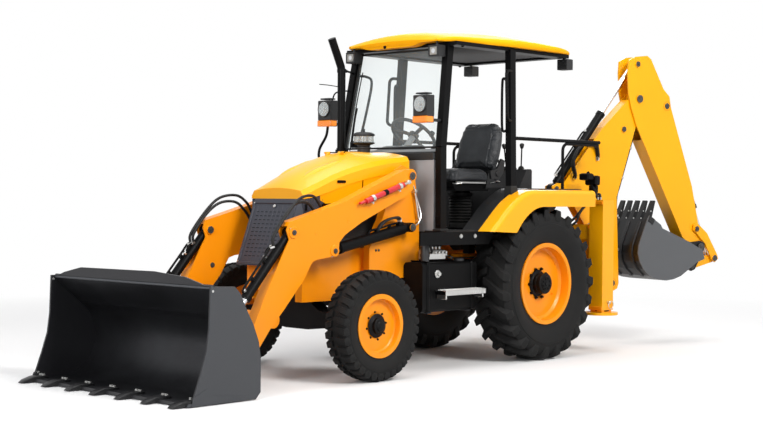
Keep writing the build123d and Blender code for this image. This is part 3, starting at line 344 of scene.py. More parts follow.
# mesh making
class Piece:
    def __init__(self, name, body, material, slot=None):
        self.name = name
        self.body = body
        self.material = material
        self.slot = slot or finishSlots.get(material)
        self.mesh = bmesh.new()

    def ring(self, points):
        return [self.mesh.verts.new(p) for p in points]

    def bridge(self, first, second):
        count = len(first)
        for k in range(count):
            self.mesh.faces.new((first[k], first[(k + 1) % count], second[(k + 1) % count], second[k]))

    def cap(self, ring, flip=False):
        self.mesh.faces.new(list(reversed(ring)) if flip else ring)

    def loft(self, rings, closed=False):
        made = [self.ring(points) for points in rings]
        for a, b in zip(made, made[1:]):
            self.bridge(a, b)
        if closed:
            self.bridge(made[-1], made[0])
        else:
            self.cap(made[0], True)
            self.cap(made[-1])
        return self

    def block(self, centre, size, turn=None, chamfer=0.0):
        x, y, z = (s / 2 for s in size)
        c = min(chamfer, 0.45 * min(size))
        turn = turn or Matrix.Identity(3)
        outline = [(-x + c, -y), (x - c, -y), (x, -y + c), (x, y - c), (x - c, y), (-x + c, y), (-x, y - c),
                   (-x, -y + c)]
        if c == 0:
            outline = [(-x, -y), (x, -y), (x, y), (-x, y)]
        levels = [(-z, 1.0)] if c == 0 else [(-z, 0.0), (-z + c, 1.0)]
        levels += [(z, 1.0)] if c == 0 else [(z - c, 1.0), (z, 0.0)]
        rings = []
        for level, full in levels:
            inset = 0.0 if full else c
            rings.append([Vector(centre) + turn @ Vector((px - math.copysign(min(inset, abs(px)), px),
                                                          py - math.copysign(min(inset, abs(py)), py), level))
                          for px, py in outline])
        return self.loft(rings)

    def prism(self, outline, low, high, axis=1):
        rings = []
        for level in (low, high):
            ring = []
            for a, b in outline:
                point = [a, b]
                point.insert(axis, level)
                ring.append(Vector(point))
            rings.append(ring)
        return self.loft(rings)

    def rod(self, start, end, radius, sides=16, tip=None, bevel=0.0):
        start, end = Vector(start), Vector(end)
        way = (end - start).normalized()
        u = way.orthogonal().normalized()
        v = way.cross(u)
        tip = radius if tip is None else tip
        stations = [(start, radius - bevel), (start + way * bevel, radius), (end - way * bevel, tip),
                    (end, tip - bevel)]
        if bevel == 0:
            stations = [(start, radius), (end, tip)]
        rings = []
        for centre, r in stations:
            rings.append([centre + r * (u * math.cos(k * math.tau / sides)
                                        + v * math.sin(k * math.tau / sides)) for k in range(sides)])
        return self.loft(rings)

    def lathe(self, profile, centre, axis, sides=48, closed=False):
        axis = Vector(axis).normalized()
        u = axis.orthogonal().normalized()
        v = axis.cross(u)
        rings = []
        for k in range(sides):
            turn = u * math.cos(k * math.tau / sides) + v * math.sin(k * math.tau / sides)
            rings.append([Vector(centre) + axis * a + turn * max(r, 0.0004) for a, r in profile])
        made = [self.ring(points) for points in rings]
        count = len(profile)
        for k in range(sides):
            a, b = made[k], made[(k + 1) % sides]
            for i in range(count if closed else count - 1):
                j = (i + 1) % count
                self.mesh.faces.new((a[i], a[j], b[j], b[i]))
        if not closed:
            self.mesh.faces.new([ring[0] for ring in made])
            self.mesh.faces.new([ring[-1] for ring in reversed(made)])
        return self

    def band(self, low, high, inner, outer, centre, axis, sides=48):
        return self.lathe([(low, inner), (low, outer), (high, outer), (high, inner)], centre, axis, sides,
                          True)

    def sweep(self, points, radius, sides=10, smooth=6, flat=1.0):
        line = curvePoints(points, smooth)
        ahead = (line[1] - line[0]).normalized()
        u = ahead.orthogonal().normalized()
        rings = []
        for k, centre in enumerate(line):
            way = (line[min(k + 1, len(line) - 1)] - line[max(k - 1, 0)]).normalized()
            u = (u - way * u.dot(way)).normalized()
            v = way.cross(u)
            rings.append([centre + radius * (u * math.cos(i * math.tau / sides)
                                             + flat * v * math.sin(i * math.tau / sides))
                          for i in range(sides)])
        return self.loft(rings)

    def fitting(self, start, end, radius):
        return self.rod(start, end, radius, 6, bevel=0.002)

    def nut(self, centre, axis, across, height, stud=0.0):
        centre, axis = Vector(centre), Vector(axis).normalized()
        self.rod(centre, centre + axis * height, across / 1.732, 6, bevel=height * 0.12)
        if stud:
            self.rod(centre + axis * height * 0.5, centre + axis * (height + stud), across * 0.28, 8,
                     bevel=0.001)
        return self

    def bolt(self, centre, axis, across=0.02, height=0.01):
        centre, axis = Vector(centre), Vector(axis).normalized()
        self.rod(centre, centre + axis * height * 0.25, across * 0.75, 14)
        self.rod(centre + axis * height * 0.25, centre + axis * height, across / 1.732, 6,
                 bevel=height * 0.12)
        return self

    def done(self, smooth=40):
        bmesh.ops.recalc_face_normals(self.mesh, faces=self.mesh.faces)
        data = bpy.data.meshes.new(self.name)
        self.mesh.to_mesh(data)
        self.mesh.free()
        data.materials.append(self.material)
        for polygon in data.polygons:
            polygon.use_smooth = True
        data.set_sharp_from_angle(angle=math.radians(smooth))
        made = bpy.data.objects.new(self.name, data)
        scene.collection.objects.link(made)
        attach(made, self.body)
        return made


def curvePoints(points, steps):
    points = [Vector(p) for p in points]
    if steps <= 1 or len(points) < 3:
        return points
    line = []
    for k in range(len(points) - 1):
        a = points[k - 1] if k else points[0] * 2 - points[1]
        b, c = points[k], points[k + 1]
        d = points[k + 2] if k + 2 < len(points) else points[-1] * 2 - points[-2]
        for i in range(steps):
            t = i / steps
            line.append(0.5 * (2 * b + (c - a) * t + (2 * a - 5 * b + 4 * c - d) * t * t
                               + (3 * b - a - 3 * c + d) * t ** 3))
    line.append(points[-1])
    return line


def around(centre, axis, radius, count, phase=0.0):
    axis = Vector(axis).normalized()
    u = axis.orthogonal().normalized()
    v = axis.cross(u)
    for k in range(count):
        angle = (k + phase) * math.tau / count
        yield Vector(centre) + radius * (u * math.cos(angle) + v * math.sin(angle))


# tyres
rearTyre = {"radius": rearRadius, "half": 0.189, "seat": 0.305, "flange": 0.332, "base": 0.583, "bars": 23,
            "depth": 0.037, "sweep": 0.21, "bar": 0.056, "shoulder": 0.535, "start": -0.012}
frontTyre = {"radius": frontRadius, "half": 0.1025, "seat": 0.203, "flange": 0.230, "base": 0.381, "bars": 34,
             "depth": 0.016, "sweep": 0.055, "bar": 0.042, "shoulder": 0.348, "start": 0.022}


def makeTyre(name, node, body, x, y, size, side):
    r, half, base = size["radius"], size["half"], size["base"]
    bead = 0.72 * half
    walls = [(-bead, size["seat"]), (-bead, size["flange"]),
             (-0.86 * half, size["flange"] + 0.2 * (base - size["flange"])),
             (-0.985 * half, size["flange"] + 0.48 * (base - size["flange"])),
             (-0.975 * half, size["flange"] + 0.62 * (base - size["flange"])),
             (-0.955 * half, size["flange"] + 0.63 * (base - size["flange"])),
             (-0.93 * half, size["flange"] + 0.82 * (base - size["flange"])), (-0.82 * half, base - 0.012),
             (-0.55 * half, base - 0.002), (0.0, base)]
    profile = walls + [(-a, b) for a, b in reversed(walls[:-1])]
    tyre = Piece(name, body, rubber)
    centre = place(x, y, r)
    tyre.lathe(profile, centre, (0, 1, 0), 120, closed=True)
    stations = [(size["start"], 0.0, r), (0.25 * half, 0.22, r), (0.55 * half, 0.55, r - 0.001),
                (0.80 * half, 0.86, r - 0.008), (0.93 * half, 1.0, r - 0.03 * r),
                (0.985 * half, 1.04, size["shoulder"]), (0.965 * half, 1.05, size["shoulder"] - 0.03 * r)]
    pitch = math.tau / size["bars"]
    for hand in (-1, 1):
        for k in range(size["bars"]):
            first = (k + (0.5 if hand > 0 else 0.0)) * pitch
            rings = []
            for a, turn, top in stations:
                angle = first + size["sweep"] * turn * side
                spread = size["bar"] / 2 * (1.0 + 0.25 * turn)
                root = max(top - size["depth"] - 0.012, size["flange"] + 0.02)
                under = 0.8 if turn > 1.0 else 1.0
                ring = []
                for radius, lateral, wide in ((top, a, 0.82), (top, a, -0.82), (root, a * under, -1.35),
                                              (root, a * under, 1.35)):
                    swing = angle + wide * spread / r
                    ring.append(centre + Vector((radius * math.sin(swing), hand * lateral,
                                                 radius * math.cos(swing))))
                rings.append(ring)
            tyre.loft(rings)
    made = tyre.done(35)
    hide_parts(node)
    return made


for label, side in leftRight:
    makeTyre(f"tyreRear_{label}", f"tyre_rear_{label}", f"wheel_r{label[0]}", 0, side * rearTrack, rearTyre,
             1)
    makeTyre(f"tyreFront_{label}", f"tyre_front_{label}", f"wheel_f{label[0]}", wheelbase, side * frontTrack,
             frontTyre, 1)
print("tyres made")

# wheel nuts
rearHub = {"disc": 0.652, "ring": 0.120, "nuts": 10, "cap": 0.7565}
frontHub = {"disc": 0.752, "ring": 0.100, "nuts": 8}
for label, side in leftRight:
    out = Vector((0, side, 0))
    nuts = Piece(f"rearNuts_{label}", f"wheel_r{label[0]}", hubBlack)
    for spot in around(place(0, side * (rearHub["disc"] + 0.012), rearRadius), out, rearHub["ring"],
                       rearHub["nuts"], 0.3):
        nuts.nut(spot, out, 0.024, 0.014, 0.012)
    for spot in around(place(0, side * rearHub["cap"], rearRadius), out, 0.043, 8, 0.5):
        nuts.bolt(spot, out, 0.013, 0.007)
    nuts.rod(place(0, side * 0.752, rearRadius), place(0, side * 0.762, rearRadius), 0.022, 24, bevel=0.003)
    nuts.done()
    nuts = Piece(f"frontNuts_{label}", f"wheel_f{label[0]}", hubBlack)
    for spot in around(place(wheelbase, side * (frontHub["disc"] + 0.011), frontRadius), out,
                       frontHub["ring"], frontHub["nuts"], 0.2):
        nuts.nut(spot - out * 0.010, out, 0.017, 0.012, 0.008)
    for spot in around(place(wheelbase, side * 0.798, frontRadius), out, 0.044, 6, 0.5):
        nuts.bolt(spot, out, 0.011, 0.007)
    nuts.done()
print("wheels made")

# seat
backTilt = math.atan2(0.094, 0.312)
seatSizes = {"cushionLow": 1.4485, "cushionTop": 1.545, "backLow": 1.552, "backTall": 0.40, "voxel": 0.006,
             "cap": 0.012}


def softRing(centre, across, deep, high, turn, corner, sides=8, waist=0.0):
    points = []
    for quarter in range(4):
        for k in range(sides):
            angle = (quarter + k / sides) * math.pi / 2
            x = math.copysign(1, math.cos(angle + 0.001)) * (deep / 2 - corner) + corner * math.cos(angle)
            y = math.copysign(1, math.sin(angle + 0.001)) * (across / 2 - corner) + corner * math.sin(angle)
            pull = 1.0 - waist * (1.0 - abs(math.cos(2 * angle)))
            points.append(Vector(centre) + turn @ Vector((x * pull, y * pull, high)))
    return points


def inflate(source, cap, pins):
    voxel = source.modifiers.new("voxel", "REMESH")
    voxel.mode = "VOXEL"
    voxel.voxel_size = seatSizes["voxel"]
    graph = bpy.context.evaluated_depsgraph_get()
    data = bpy.data.meshes.new_from_object(source.evaluated_get(graph))
    soft = bpy.data.objects.new(source.name + "_soft", data)
    scene.collection.objects.link(soft)
    bpy.data.objects.remove(source)
    start = [v.co.copy() for v in data.vertices]
    group = soft.vertex_groups.new(name="pinned")
    group.add([v.index for v in data.vertices if pins(v.co)], 1.0, "REPLACE")
    cloth = soft.modifiers.new("cloth", "CLOTH")
    cloth.settings.uniform_pressure_force = 4.0
    cloth.settings.use_pressure = True
    cloth.settings.effector_weights.gravity = 0.0
    cloth.settings.tension_stiffness = 18
    cloth.settings.compression_stiffness = 18
    cloth.settings.bending_stiffness = 0.8
    cloth.settings.vertex_group_mass = "pinned"
    for step in range(1, 21):
        scene.frame_set(step)
    graph = bpy.context.evaluated_depsgraph_get()
    swollen = bpy.data.meshes.new_from_object(soft.evaluated_get(graph))
    for vertex, moved, rest in zip(data.vertices, swollen.vertices, start):
        step = moved.co - rest
        vertex.co = rest + step.normalized() * min(step.length, cap) if step.length else rest
    soft.modifiers.clear()
    scene.frame_set(1)
    return soft


def groove(data, distance, depth, width):
    normals = [v.normal.copy() for v in data.vertices]
    for vertex, normal in zip(data.vertices, normals):
        d = distance(vertex.co)
        if d < width:
            vertex.co -= normal * depth * (0.5 + 0.5 * math.cos(math.pi * d / width))


def finishSoft(soft, name, node, seams):
    for _ in range(2):
        smoothMesh(soft.data)
    for seam in seams:
        groove(soft.data, *seam)
    fine = soft.modifiers.new("fine", "SUBSURF")
    fine.levels = 1
    fine.render_levels = 1
    graph = bpy.context.evaluated_depsgraph_get()
    data = bpy.data.meshes.new_from_object(soft.evaluated_get(graph))
    data.name = name
    data.materials.clear()
    data.materials.append(vinyl)
    for polygon in data.polygons:
        polygon.use_smooth = True
    made = bpy.data.objects.new(name, data)
    scene.collection.objects.link(made)
    bpy.data.objects.remove(soft)
    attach(made, "seat")
    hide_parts(node)
    return made


def smoothMesh(data):
    work = bmesh.new()
    work.from_mesh(data)
    bmesh.ops.smooth_vert(work, verts=work.verts, factor=0.5, use_axis_x=True, use_axis_y=True,
                          use_axis_z=True)
    work.to_mesh(data)
    work.free()


cushionBase = Piece("cushionBase", "seat", vinyl)
flatTurn = Matrix.Identity(3)
middle = place(0.312, 0, 0)
rings = []
for high, grow, corner in ((0.0, -0.020, 0.05), (0.018, 0.0, 0.06), (0.055, 0.004, 0.06),
                           (0.078, -0.010, 0.07), (0.092, -0.055, 0.08)):
    rings.append(softRing(middle + Vector((0, 0, seatSizes["cushionLow"] + high)), 0.455 + grow, 0.475 + grow,
                          0, flatTurn, corner, waist=0.02))
cushionBase.loft(rings)
cushionBase = cushionBase.done()
low = seatSizes["cushionLow"]
cushion = inflate(cushionBase, seatSizes["cap"], lambda p: p.z < low + 0.012)
cushion = finishSoft(cushion, "seatCushion", "seat_cushion", [
    (lambda p: abs(p.z - low - 0.070) if max(abs(p.y) / 0.225, abs(p.x - middle.x) / 0.232) > 0.90 else 1.0,
     0.0035, 0.007),
    (lambda p: abs(abs(p.y) - 0.150) if p.z > low + 0.06 and p.x < middle.x + 0.19 else 1.0, 0.004, 0.010),
])

backBase = Piece("backBase", "seat", vinyl)
lean = Matrix.Rotation(-backTilt, 3, "Y")
foot = place(0.025, 0, seatSizes["backLow"])
rings = []
backRows = ((0.0, 0.38, 0.086, 0.040), (0.03, 0.425, 0.100, 0.046), (0.12, 0.448, 0.104, 0.048),
            (0.24, 0.446, 0.100, 0.048), (0.33, 0.418, 0.094, 0.045), (0.375, 0.372, 0.086, 0.041),
            (0.402, 0.310, 0.072, 0.034), (0.412, 0.24, 0.050, 0.024))
for high, across, deep, corner in backRows:
    rings.append(softRing(foot + lean @ Vector((0, 0, high)), across, deep, 0, lean, corner))
backBase.loft(rings)
backBase = backBase.done()
back = inflate(backBase, seatSizes["cap"], lambda p: (lean.inverted() @ (p - foot)).x < -0.035)


def backSpot(p):
    return lean.inverted() @ (p - foot)


def backSeam(p):
    q = backSpot(p)
    if q.x < 0.01:
        return 1.0
    wide = 0.165 - 0.25 * max(q.z - 0.27, 0.0)
    edge = abs(abs(q.y) - wide) if q.z < 0.345 else 1.0
    return min(edge, abs(q.z - 0.345) if abs(q.y) < wide else 1.0)


back = finishSoft(back, "seatBack", "seat_back",
                  [(backSeam, 0.005, 0.011), (lambda p: abs(backSpot(p).x - 0.004), 0.003, 0.006)])
print("seat made")

# small fittings
across = Vector((0, 1, 0))
fore = Vector((1, 0, 0))
aloft = Vector((0, 0, 1))
hoeTurn = math.radians(15)
hoeSpin = Matrix.Rotation(-hoeTurn, 3, "Z")
hoeAcross = Vector((math.sin(hoeTurn), math.cos(hoeTurn), 0))


def hoePlace(reach, height, offset=0.0):
    s, c = math.sin(hoeTurn), math.cos(hoeTurn)
    return place(kingpostX + s * offset - c * reach, kingpostY + c * offset + s * reach, height)


def pinCap(piece, centre, axis, radius, high=0.010):
    axis = Vector(axis).normalized()
    centre = Vector(centre)
    piece.rod(centre, centre + axis * high, radius, 28, bevel=high * 0.3)
    piece.rod(centre + axis * high, centre + axis * (high + 0.005), radius * 0.30, 10, bevel=0.001)
    flat = axis.orthogonal().normalized()
    piece.bolt(centre + flat * radius * 0.66 + axis * high, axis, radius * 0.30, radius * 0.16)


def hoePins(name, body, rows, high=0.008):
    pins = Piece(name, body, hoeSteel)
    for way in (-1, 1):
        for reach, height, offset, radius in rows:
            pinCap(pins, hoePlace(reach, height, way * offset), hoeAcross * way, radius, high)
    pins.done()


# rear and front hubs, black over the painted discs
hubSizes = {"rearOut": rearTrack + 0.046, "rearRadius": 0.0795, "rearLong": 0.094,
            "frontOut": frontTrack + 0.022, "frontRadius": 0.0575, "frontLong": 0.048}
for label, side in leftRight:
    out = Vector((0, side, 0))
    hub = Piece(f"rearHub_{label}", f"wheel_r{label[0]}", hubBlack)
    r, a = hubSizes["rearRadius"], hubSizes["rearLong"]
    hub.lathe([(0.003, 0.058), (0.003, 0.106), (0.008, 0.109), (0.013, 0.106), (0.016, r + 0.010),
               (0.022, r + 0.004), (0.050, r + 0.004), (0.053, r + 0.001), (0.057, r + 0.001),
               (0.060, r + 0.004), (a - 0.004, r + 0.004), (a + 0.001, r - 0.002), (a + 0.002, 0.062),
               (a + 0.010, 0.058), (a + 0.0105, 0.0)], place(0, side * hubSizes["rearOut"], rearRadius), out,
              64)
    hub.done()
    hub = Piece(f"frontHub_{label}", f"wheel_f{label[0]}", hubBlack)
    r, a = hubSizes["frontRadius"], hubSizes["frontLong"]
    hub.lathe([(0.012, 0.030), (0.012, 0.082), (0.016, 0.086), (0.020, 0.082), (0.022, r + 0.004), (0.026, r),
               (a + 0.001, r), (a + 0.004, r - 0.004), (a + 0.005, 0.042), (a + 0.014, 0.037),
               (a + 0.018, 0.030), (a + 0.018, 0.0)], place(wheelbase, side * hubSizes["frontOut"],
                                                            frontRadius), out, 48)
    hub.done()
    beads = Piece(f"rimLines_{label}", f"wheel_r{label[0]}", yellowShaded)
    beads.lathe([(0.140, 0.3055), (0.144, 0.326), (0.149, 0.3305), (0.149, 0.312), (0.146, 0.301)],
                place(0, side * rearTrack, rearRadius), out, 96, closed=True)
    for spot in around(place(0, side * 0.672, rearRadius), out, 0.205, 2, 0.1):
        beads.bolt(spot, out, 0.012, 0.006)
    beads.done()
    Piece(f"valves_{label}", f"wheel_r{label[0]}", zinc).rod(place(0.262, side * 0.672, 0.655),
                                                             place(0.268, side * 0.712, 0.657), 0.0045, 10,
                                                             bevel=0.001).done()
print("hubs made")

# nose: frame, ribs, lock and side vents
nose = {"ribs": 9, "spacing": 0.046, "proud": 0.004}


def noseFace(y, t, lift=0.0):
    return place(2.452 - 0.184 * t + 0.935 * lift, y, 0.810 + 0.486 * t + 0.354 * lift)


def noseStrip(piece, y0, t0, y1, t1, wide, high):
    a, b = noseFace(y0, t0, high / 2 - 0.002), noseFace(y1, t1, high / 2 - 0.002)
    way = (b - a).normalized()
    outward = Vector((0.935, 0, 0.354))
    flat = way.cross(outward).normalized()
    ring = []
    for end in (a, b):
        ring.append([end + flat * wide * p + outward * high * q / 2
                     for p, q in ((-0.5, -1), (0.5, -1), (0.32, 1), (-0.32, 1))])
    piece.loft(ring)


ribs = Piece("noseRibs", "chassis", grey)
for k in range(nose["ribs"]):
    y = (k - (nose["ribs"] - 1) / 2) * nose["spacing"]
    noseStrip(ribs, y, 0.07, y * 0.97, 0.90, 0.012, nose["proud"])
for y in (-0.222, 0.222):
    noseStrip(ribs, y, 0.02, y, 0.985, 0.022, 0.009)
noseStrip(ribs, -0.232, 0.955, 0.232, 0.955, 0.040, 0.010)
noseStrip(ribs, -0.232, 0.030, 0.232, 0.030, 0.022, 0.009)
ribs.done()
slots = Piece("noseSlots", "chassis", black)
for row in range(12):
    t = 0.14 + row * 0.06
    for k in range(nose["ribs"] - 1):
        y = (k - (nose["ribs"] - 2) / 2) * nose["spacing"]
        noseStrip(slots, y - 0.013, t, y + 0.013, t, 0.005, 0.0044)
slots.done()
lock = Piece("noseLock", "chassis", zinc)
spot = noseFace(0.007, 0.885, 0.003)
lock.rod(spot, spot + Vector((0.935, 0, 0.354)) * 0.008, 0.012, 20, bevel=0.002)
for y in (-0.20, 0.20):
    for t in (0.05, 0.93):
        lock.bolt(noseFace(y * 1.11, t, 0.004), (0.935, 0, 0.354), 0.011, 0.005)
lock.done()
for label, side in leftRight:
    vent = Piece(f"sideVent_{label}", "chassis", grey)
    outline = [(2.262, 1.293), (2.020, 1.362), (2.014, 1.292), (2.080, 1.252), (2.170, 1.176), (2.262, 1.165)]
    vent.prism([(rearAxle + a, b) for a, b in outline], min(side * 0.262, side * 0.279),
               max(side * 0.262, side * 0.279))
    for k in range(6):
        a = 2.070 + 0.030 * k
        top, low = 1.330 - 0.22 * (a - 2.07), 1.285 - 0.75 * (a - 2.07)
        vent.rod(place(a, side * 0.280, low), place(a, side * 0.280, top), 0.0035, 8)
    vent.done()
    Piece(f"ventLatch_{label}", "chassis", black).block(place(2.235, side * 0.284, 1.235),
                                                        (0.018, 0.010, 0.05), chamfer=0.003).done()
print("nose made")

# bonnet ridges and its seam
hoodRows = ((1.215, 0.340, 1.590, 1.664), (1.450, 0.330, 1.562, 1.662), (1.680, 0.314, 1.520, 1.640),
            (2.000, 0.296, 1.424, 1.534), (2.180, 0.288, 1.352, 1.446), (2.266, 0.280, 1.318, 1.376))


def hoodTop(x, y):
    for (x0, h0, c0, t0), (x1, h1, c1, t1) in zip(hoodRows, hoodRows[1:]):
        if x <= x1:
            break
    s = (x - x0) / (x1 - x0)
    half, crease, crown = h0 + s * (h1 - h0), c0 + s * (c1 - c0), t0 + s * (t1 - t0)
    a, edge = half - 0.026, crease + 0.036
    rise = crown - edge
    r = (a * a + rise * rise) / (2 * rise)
    return crown - r + math.sqrt(r * r - y * y)


ridges = Piece("bonnetRidges", "bonnet_body", yellow)
for y0, y1 in ((0.155, 0.125), (-0.155, -0.125)):
    rings = []
    for k in range(15):
        s = k / 14
        x = 1.735 + 0.415 * s
        y = y0 + (y1 - y0) * s
        fade = min(1.0, 5 * s, 5 * (1 - s))
        z = hoodTop(x, y)
        rings.append([place(x, y + w * (0.55 + 0.45 * fade), z - 0.012 + q * (0.012 + 0.011 * fade))
                      for w, q in ((-0.042, 0), (0.042, 0), (0.030, 0.8), (0.016, 1.0), (-0.016, 1.0),
                                   (-0.030, 0.8))])
    ridges.loft(rings)
ridges.done(60)
Piece("bonnetHinge", "chassis", black).rod(place(1.6803, -0.112, 1.650), place(1.6803, 0.112, 1.650), 0.0042,
                                           12, bevel=0.001).done()
# side panels under the hood, down to the arms
for label, side in leftRight:
    for name, body, rows in (("bonnetSide", "bonnet_body", ((1.686, 0.308, 1.450, 1.326),
                                                            (1.830, 0.300, 1.404, 1.272),
                                                            (1.950, 0.293, 1.372, 1.266),
                                                            (2.040, 0.288, 1.348, 1.262),
                                                            (2.100, 0.285, 1.330, 1.290))),
                             ("cowlSide", "chassis", ((1.300, 0.330, 1.515, 1.470),
                                                      (1.420, 0.326, 1.492, 1.452),
                                                      (1.560, 0.317, 1.468, 1.394),
                                                      (1.674, 0.309, 1.450, 1.331)))):
        Piece(f"{name}_{label}", body, yellow).loft([spots([(x, y, high), (x, y - 0.004, high),
                                                            (x, y - 0.010, low), (x, y - 0.006, low)], side)
                                                     for x, y, high, low in rows]).done()
handles = Piece("bonnetCatches", "bonnet_body", black)
for label, side in leftRight:
    handles.block(place(1.90, side * 0.306, 1.425), (0.085, 0.012, 0.020), chamfer=0.004)
handles.done()

# pre-cleaner
cleaner = Piece("cleanerCap", "chassis", plastic)
base = place(1.260, -0.100, 0)
cleaner.lathe([(1.640, 0.0), (1.640, 0.051), (1.690, 0.051), (1.694, 0.060), (1.704, 0.060), (1.708, 0.048),
               (1.722, 0.052), (1.730, 0.078), (1.736, 0.088), (1.742, 0.088), (1.744, 0.070), (1.744, 0.0)],
              base, (0, 0, 1), 48)
cleaner.lathe([(1.792, 0.0), (1.792, 0.080), (1.796, 0.087), (1.806, 0.087), (1.812, 0.080), (1.822, 0.060),
               (1.826, 0.0)], base, (0, 0, 1), 48)
cleaner.rod(base + aloft * 1.820, base + aloft * 1.850, 0.009, 12, bevel=0.003)
for spot in around(base + aloft * 1.744, (0, 0, 1), 0.034, 10):
    cleaner.rod(spot, spot + aloft * 0.050, 0.006, 8)
cleaner = cleaner.done()
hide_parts("air_precleaner")
Piece("cleanerBowl", "chassis", bowlGlass, "screen").lathe([(1.7425, 0.0805), (1.7925, 0.0765),
                                                            (1.7925, 0.0735), (1.7425, 0.0775)], base,
                                                           (0, 0, 1), 48, closed=True).done()

# exhaust clamp, stay and open end
exhaust = Piece("exhaustFittings", "chassis", black)
pipe = place(1.314, -0.300, 0)
exhaust.band(2.300, 2.328, 0.031, 0.0365, pipe, (0, 0, 1), 32)
exhaust.sweep([pipe + Vector((-0.034, -0.008, 2.314)), place(1.20, -0.36, 2.322), place(1.06, -0.45, 2.325),
               place(0.985, -0.508, 2.326)], 0.0085, 10)
exhaust.band(1.690, 1.700, 0.031, 0.038, pipe, (0, 0, 1), 32)
exhaust.block(pipe + Vector((-0.046, 0, 2.314)), (0.026, 0.020, 0.024), chamfer=0.003)
exhaust.bolt(pipe + Vector((-0.046, 0.010, 2.314)), (0, 1, 0), 0.012, 0.006)
exhaust.sweep(spots([(1.345, -0.300, 2.185), (1.370, -0.380, 2.200), (1.385, -0.480, 2.212)]), 0.0035, 8)
exhaust.done()
soot = Piece("exhaustEnd", "chassis", castIron)
tail = place(1.425, -0.300, 2.560)
out = Vector((0.111, 0, 0.230)).normalized()
soot.rod(tail - out * 0.002, tail + out * 0.0012, 0.0285, 24)
soot.done()

# headlights, indicators and work lights
lampSizes = {"head": 0.058, "headHigh": 2.020, "work": (0.074, 0.064)}
for label, side in leftRight:
    front = place(1.290, side * 0.524, lampSizes["headHigh"])
    r = lampSizes["head"]
    bezel = Piece(f"headBezel_{label}", "chassis", plastic)
    bezel.lathe([(-0.002, r), (0.008, r), (0.011, r + 0.004), (0.008, r + 0.008), (-0.002, r + 0.010)], front,
                fore, 40, closed=True)
    bezel.block(front + Vector((-0.043, 0, 0.083)), (0.070, 0.110, 0.012), chamfer=0.003)
    bezel.done()
    Piece(f"headDish_{label}", "chassis", chrome).lathe([(-0.0015, 0.0), (0.0008, 0.020), (0.0035, 0.042),
                                                         (0.0062, r - 0.001), (-0.002, r - 0.001)], front,
                                                        fore, 40).done()
    bulb = Piece(f"headBulb_{label}", "chassis", zinc)
    bulb.rod(front + fore * 0.001, front + fore * 0.0066, 0.012, 16, bevel=0.002)
    bulb.lathe([(0.0030, 0.038), (0.0052, 0.038), (0.0052, 0.035), (0.0025, 0.035)], front, fore, 32,
               closed=True)
    bulb.done()
    Piece(f"headLens_{label}", "chassis", bowlGlass).lathe([(0.0064, r - 0.002), (0.0105, 0.040),
                                                            (0.0125, 0.020), (0.013, 0.0)], front, fore,
                                                           40).done()
    amber = Piece(f"indicator_{label}", "chassis", amberLens)
    amber.block(place(1.2555, side * 0.524, 1.9048), (0.078, 0.154, 0.0515), chamfer=0.006)
    for k in range(5):
        amber.block(place(1.295, side * 0.524 + (k - 2) * 0.027, 1.9048), (0.003, 0.018, 0.040),
                    chamfer=0.001)
    amber.done()
    for spot, turn in ((place(1.060, side * 0.453, 2.445), 1), (place(-0.570, side * 0.520, 2.445), -1)):
        wide, tall = lampSizes["work"]
        case = Piece(f"workCase_{label}_{turn}", "chassis", plastic)
        for y, z, sy, sz in ((0, tall / 2 + 0.006, wide + 0.024, 0.012),
                             (0, -tall / 2 - 0.006, wide + 0.024, 0.012), (wide / 2 + 0.006, 0, 0.012, tall),
                             (-wide / 2 - 0.006, 0, 0.012, tall)):
            case.block(spot + Vector((turn * 0.004, y, z)), (0.012, sy, sz), chamfer=0.002)
        for k in range(5):
            case.block(spot - Vector((turn * 0.081, 0, (k - 2) * 0.015)), (0.006, 0.084, 0.005),
                       chamfer=0.001)
        case.done()
        Piece(f"workLens_{label}_{turn}", "chassis",
              clearLens).block(spot + Vector((turn * 0.002, 0, 0)), (0.010, wide, tall), chamfer=0.003).done()
        Piece(f"workBulb_{label}_{turn}", "chassis", chrome).lathe([(0.0072, 0.0), (0.0078, 0.012),
                                                                    (0.0072, 0.018)], spot, fore * turn,
                                                                   24).done()
stalk = Piece("lampStalk", "chassis", black)
stalk.sweep(spots([(1.245, -0.524, 1.884), (1.262, -0.528, 1.800), (1.305, -0.560, 1.690),
                   (1.300, -0.545, 1.600), (1.170, -0.500, 1.585), (1.090, -0.480, 1.590)]), 0.011, 10)
stalk.sweep(spots([(1.225, -0.50, 2.084), (1.215, -0.47, 2.150), (1.090, -0.500, 2.175),
                   (1.020, -0.515, 2.180)]), 0.006, 8)
stalk.done()
print("lamps made")

# wiper on the screen
def onGlass(y, h, lift=0.006):
    return place(1.062 - 0.1614 * h + 0.9868 * lift + 0.004, y, 1.690 + 0.9868 * h + 0.1614 * lift)


wiper = Piece("wiper", "chassis", black)
wiper.block(onGlass(-0.400, 0.045, 0.012), (0.028, 0.075, 0.050), chamfer=0.006)
wiper.rod(onGlass(-0.400, 0.045, 0.010), onGlass(-0.400, 0.045, 0.040), 0.012, 14, bevel=0.002)
wiper.sweep(along(onGlass, [(-0.400, 0.045, 0.034), (-0.398, 0.20, 0.036), (-0.400, 0.345, 0.028)]), 0.0055,
            8)
wiper.sweep(along(onGlass, [(-0.430, 0.060, 0.020), (-0.414, 0.20, 0.024), (-0.400, 0.345, 0.020)]), 0.0035,
            8)
blade = [onGlass(-0.440, -0.005 + 0.65 * k / 8, 0.010 + 0.010 * math.sin(math.pi * k / 8)) for k in range(9)]
wiper.sweep([p + Vector((0, 0.012 * k / 8 * 3.2, 0)) for k, p in enumerate(blade)], 0.0045, 8, 3)
wiper.done()
gasket = Piece("screenSeal", "chassis", hoseRubber)
corners = along(onGlass, [(-0.500, 0.012, 0.002), (0.500, 0.012, 0.002), (0.455, 0.792, 0.002),
                          (-0.455, 0.792, 0.002)])
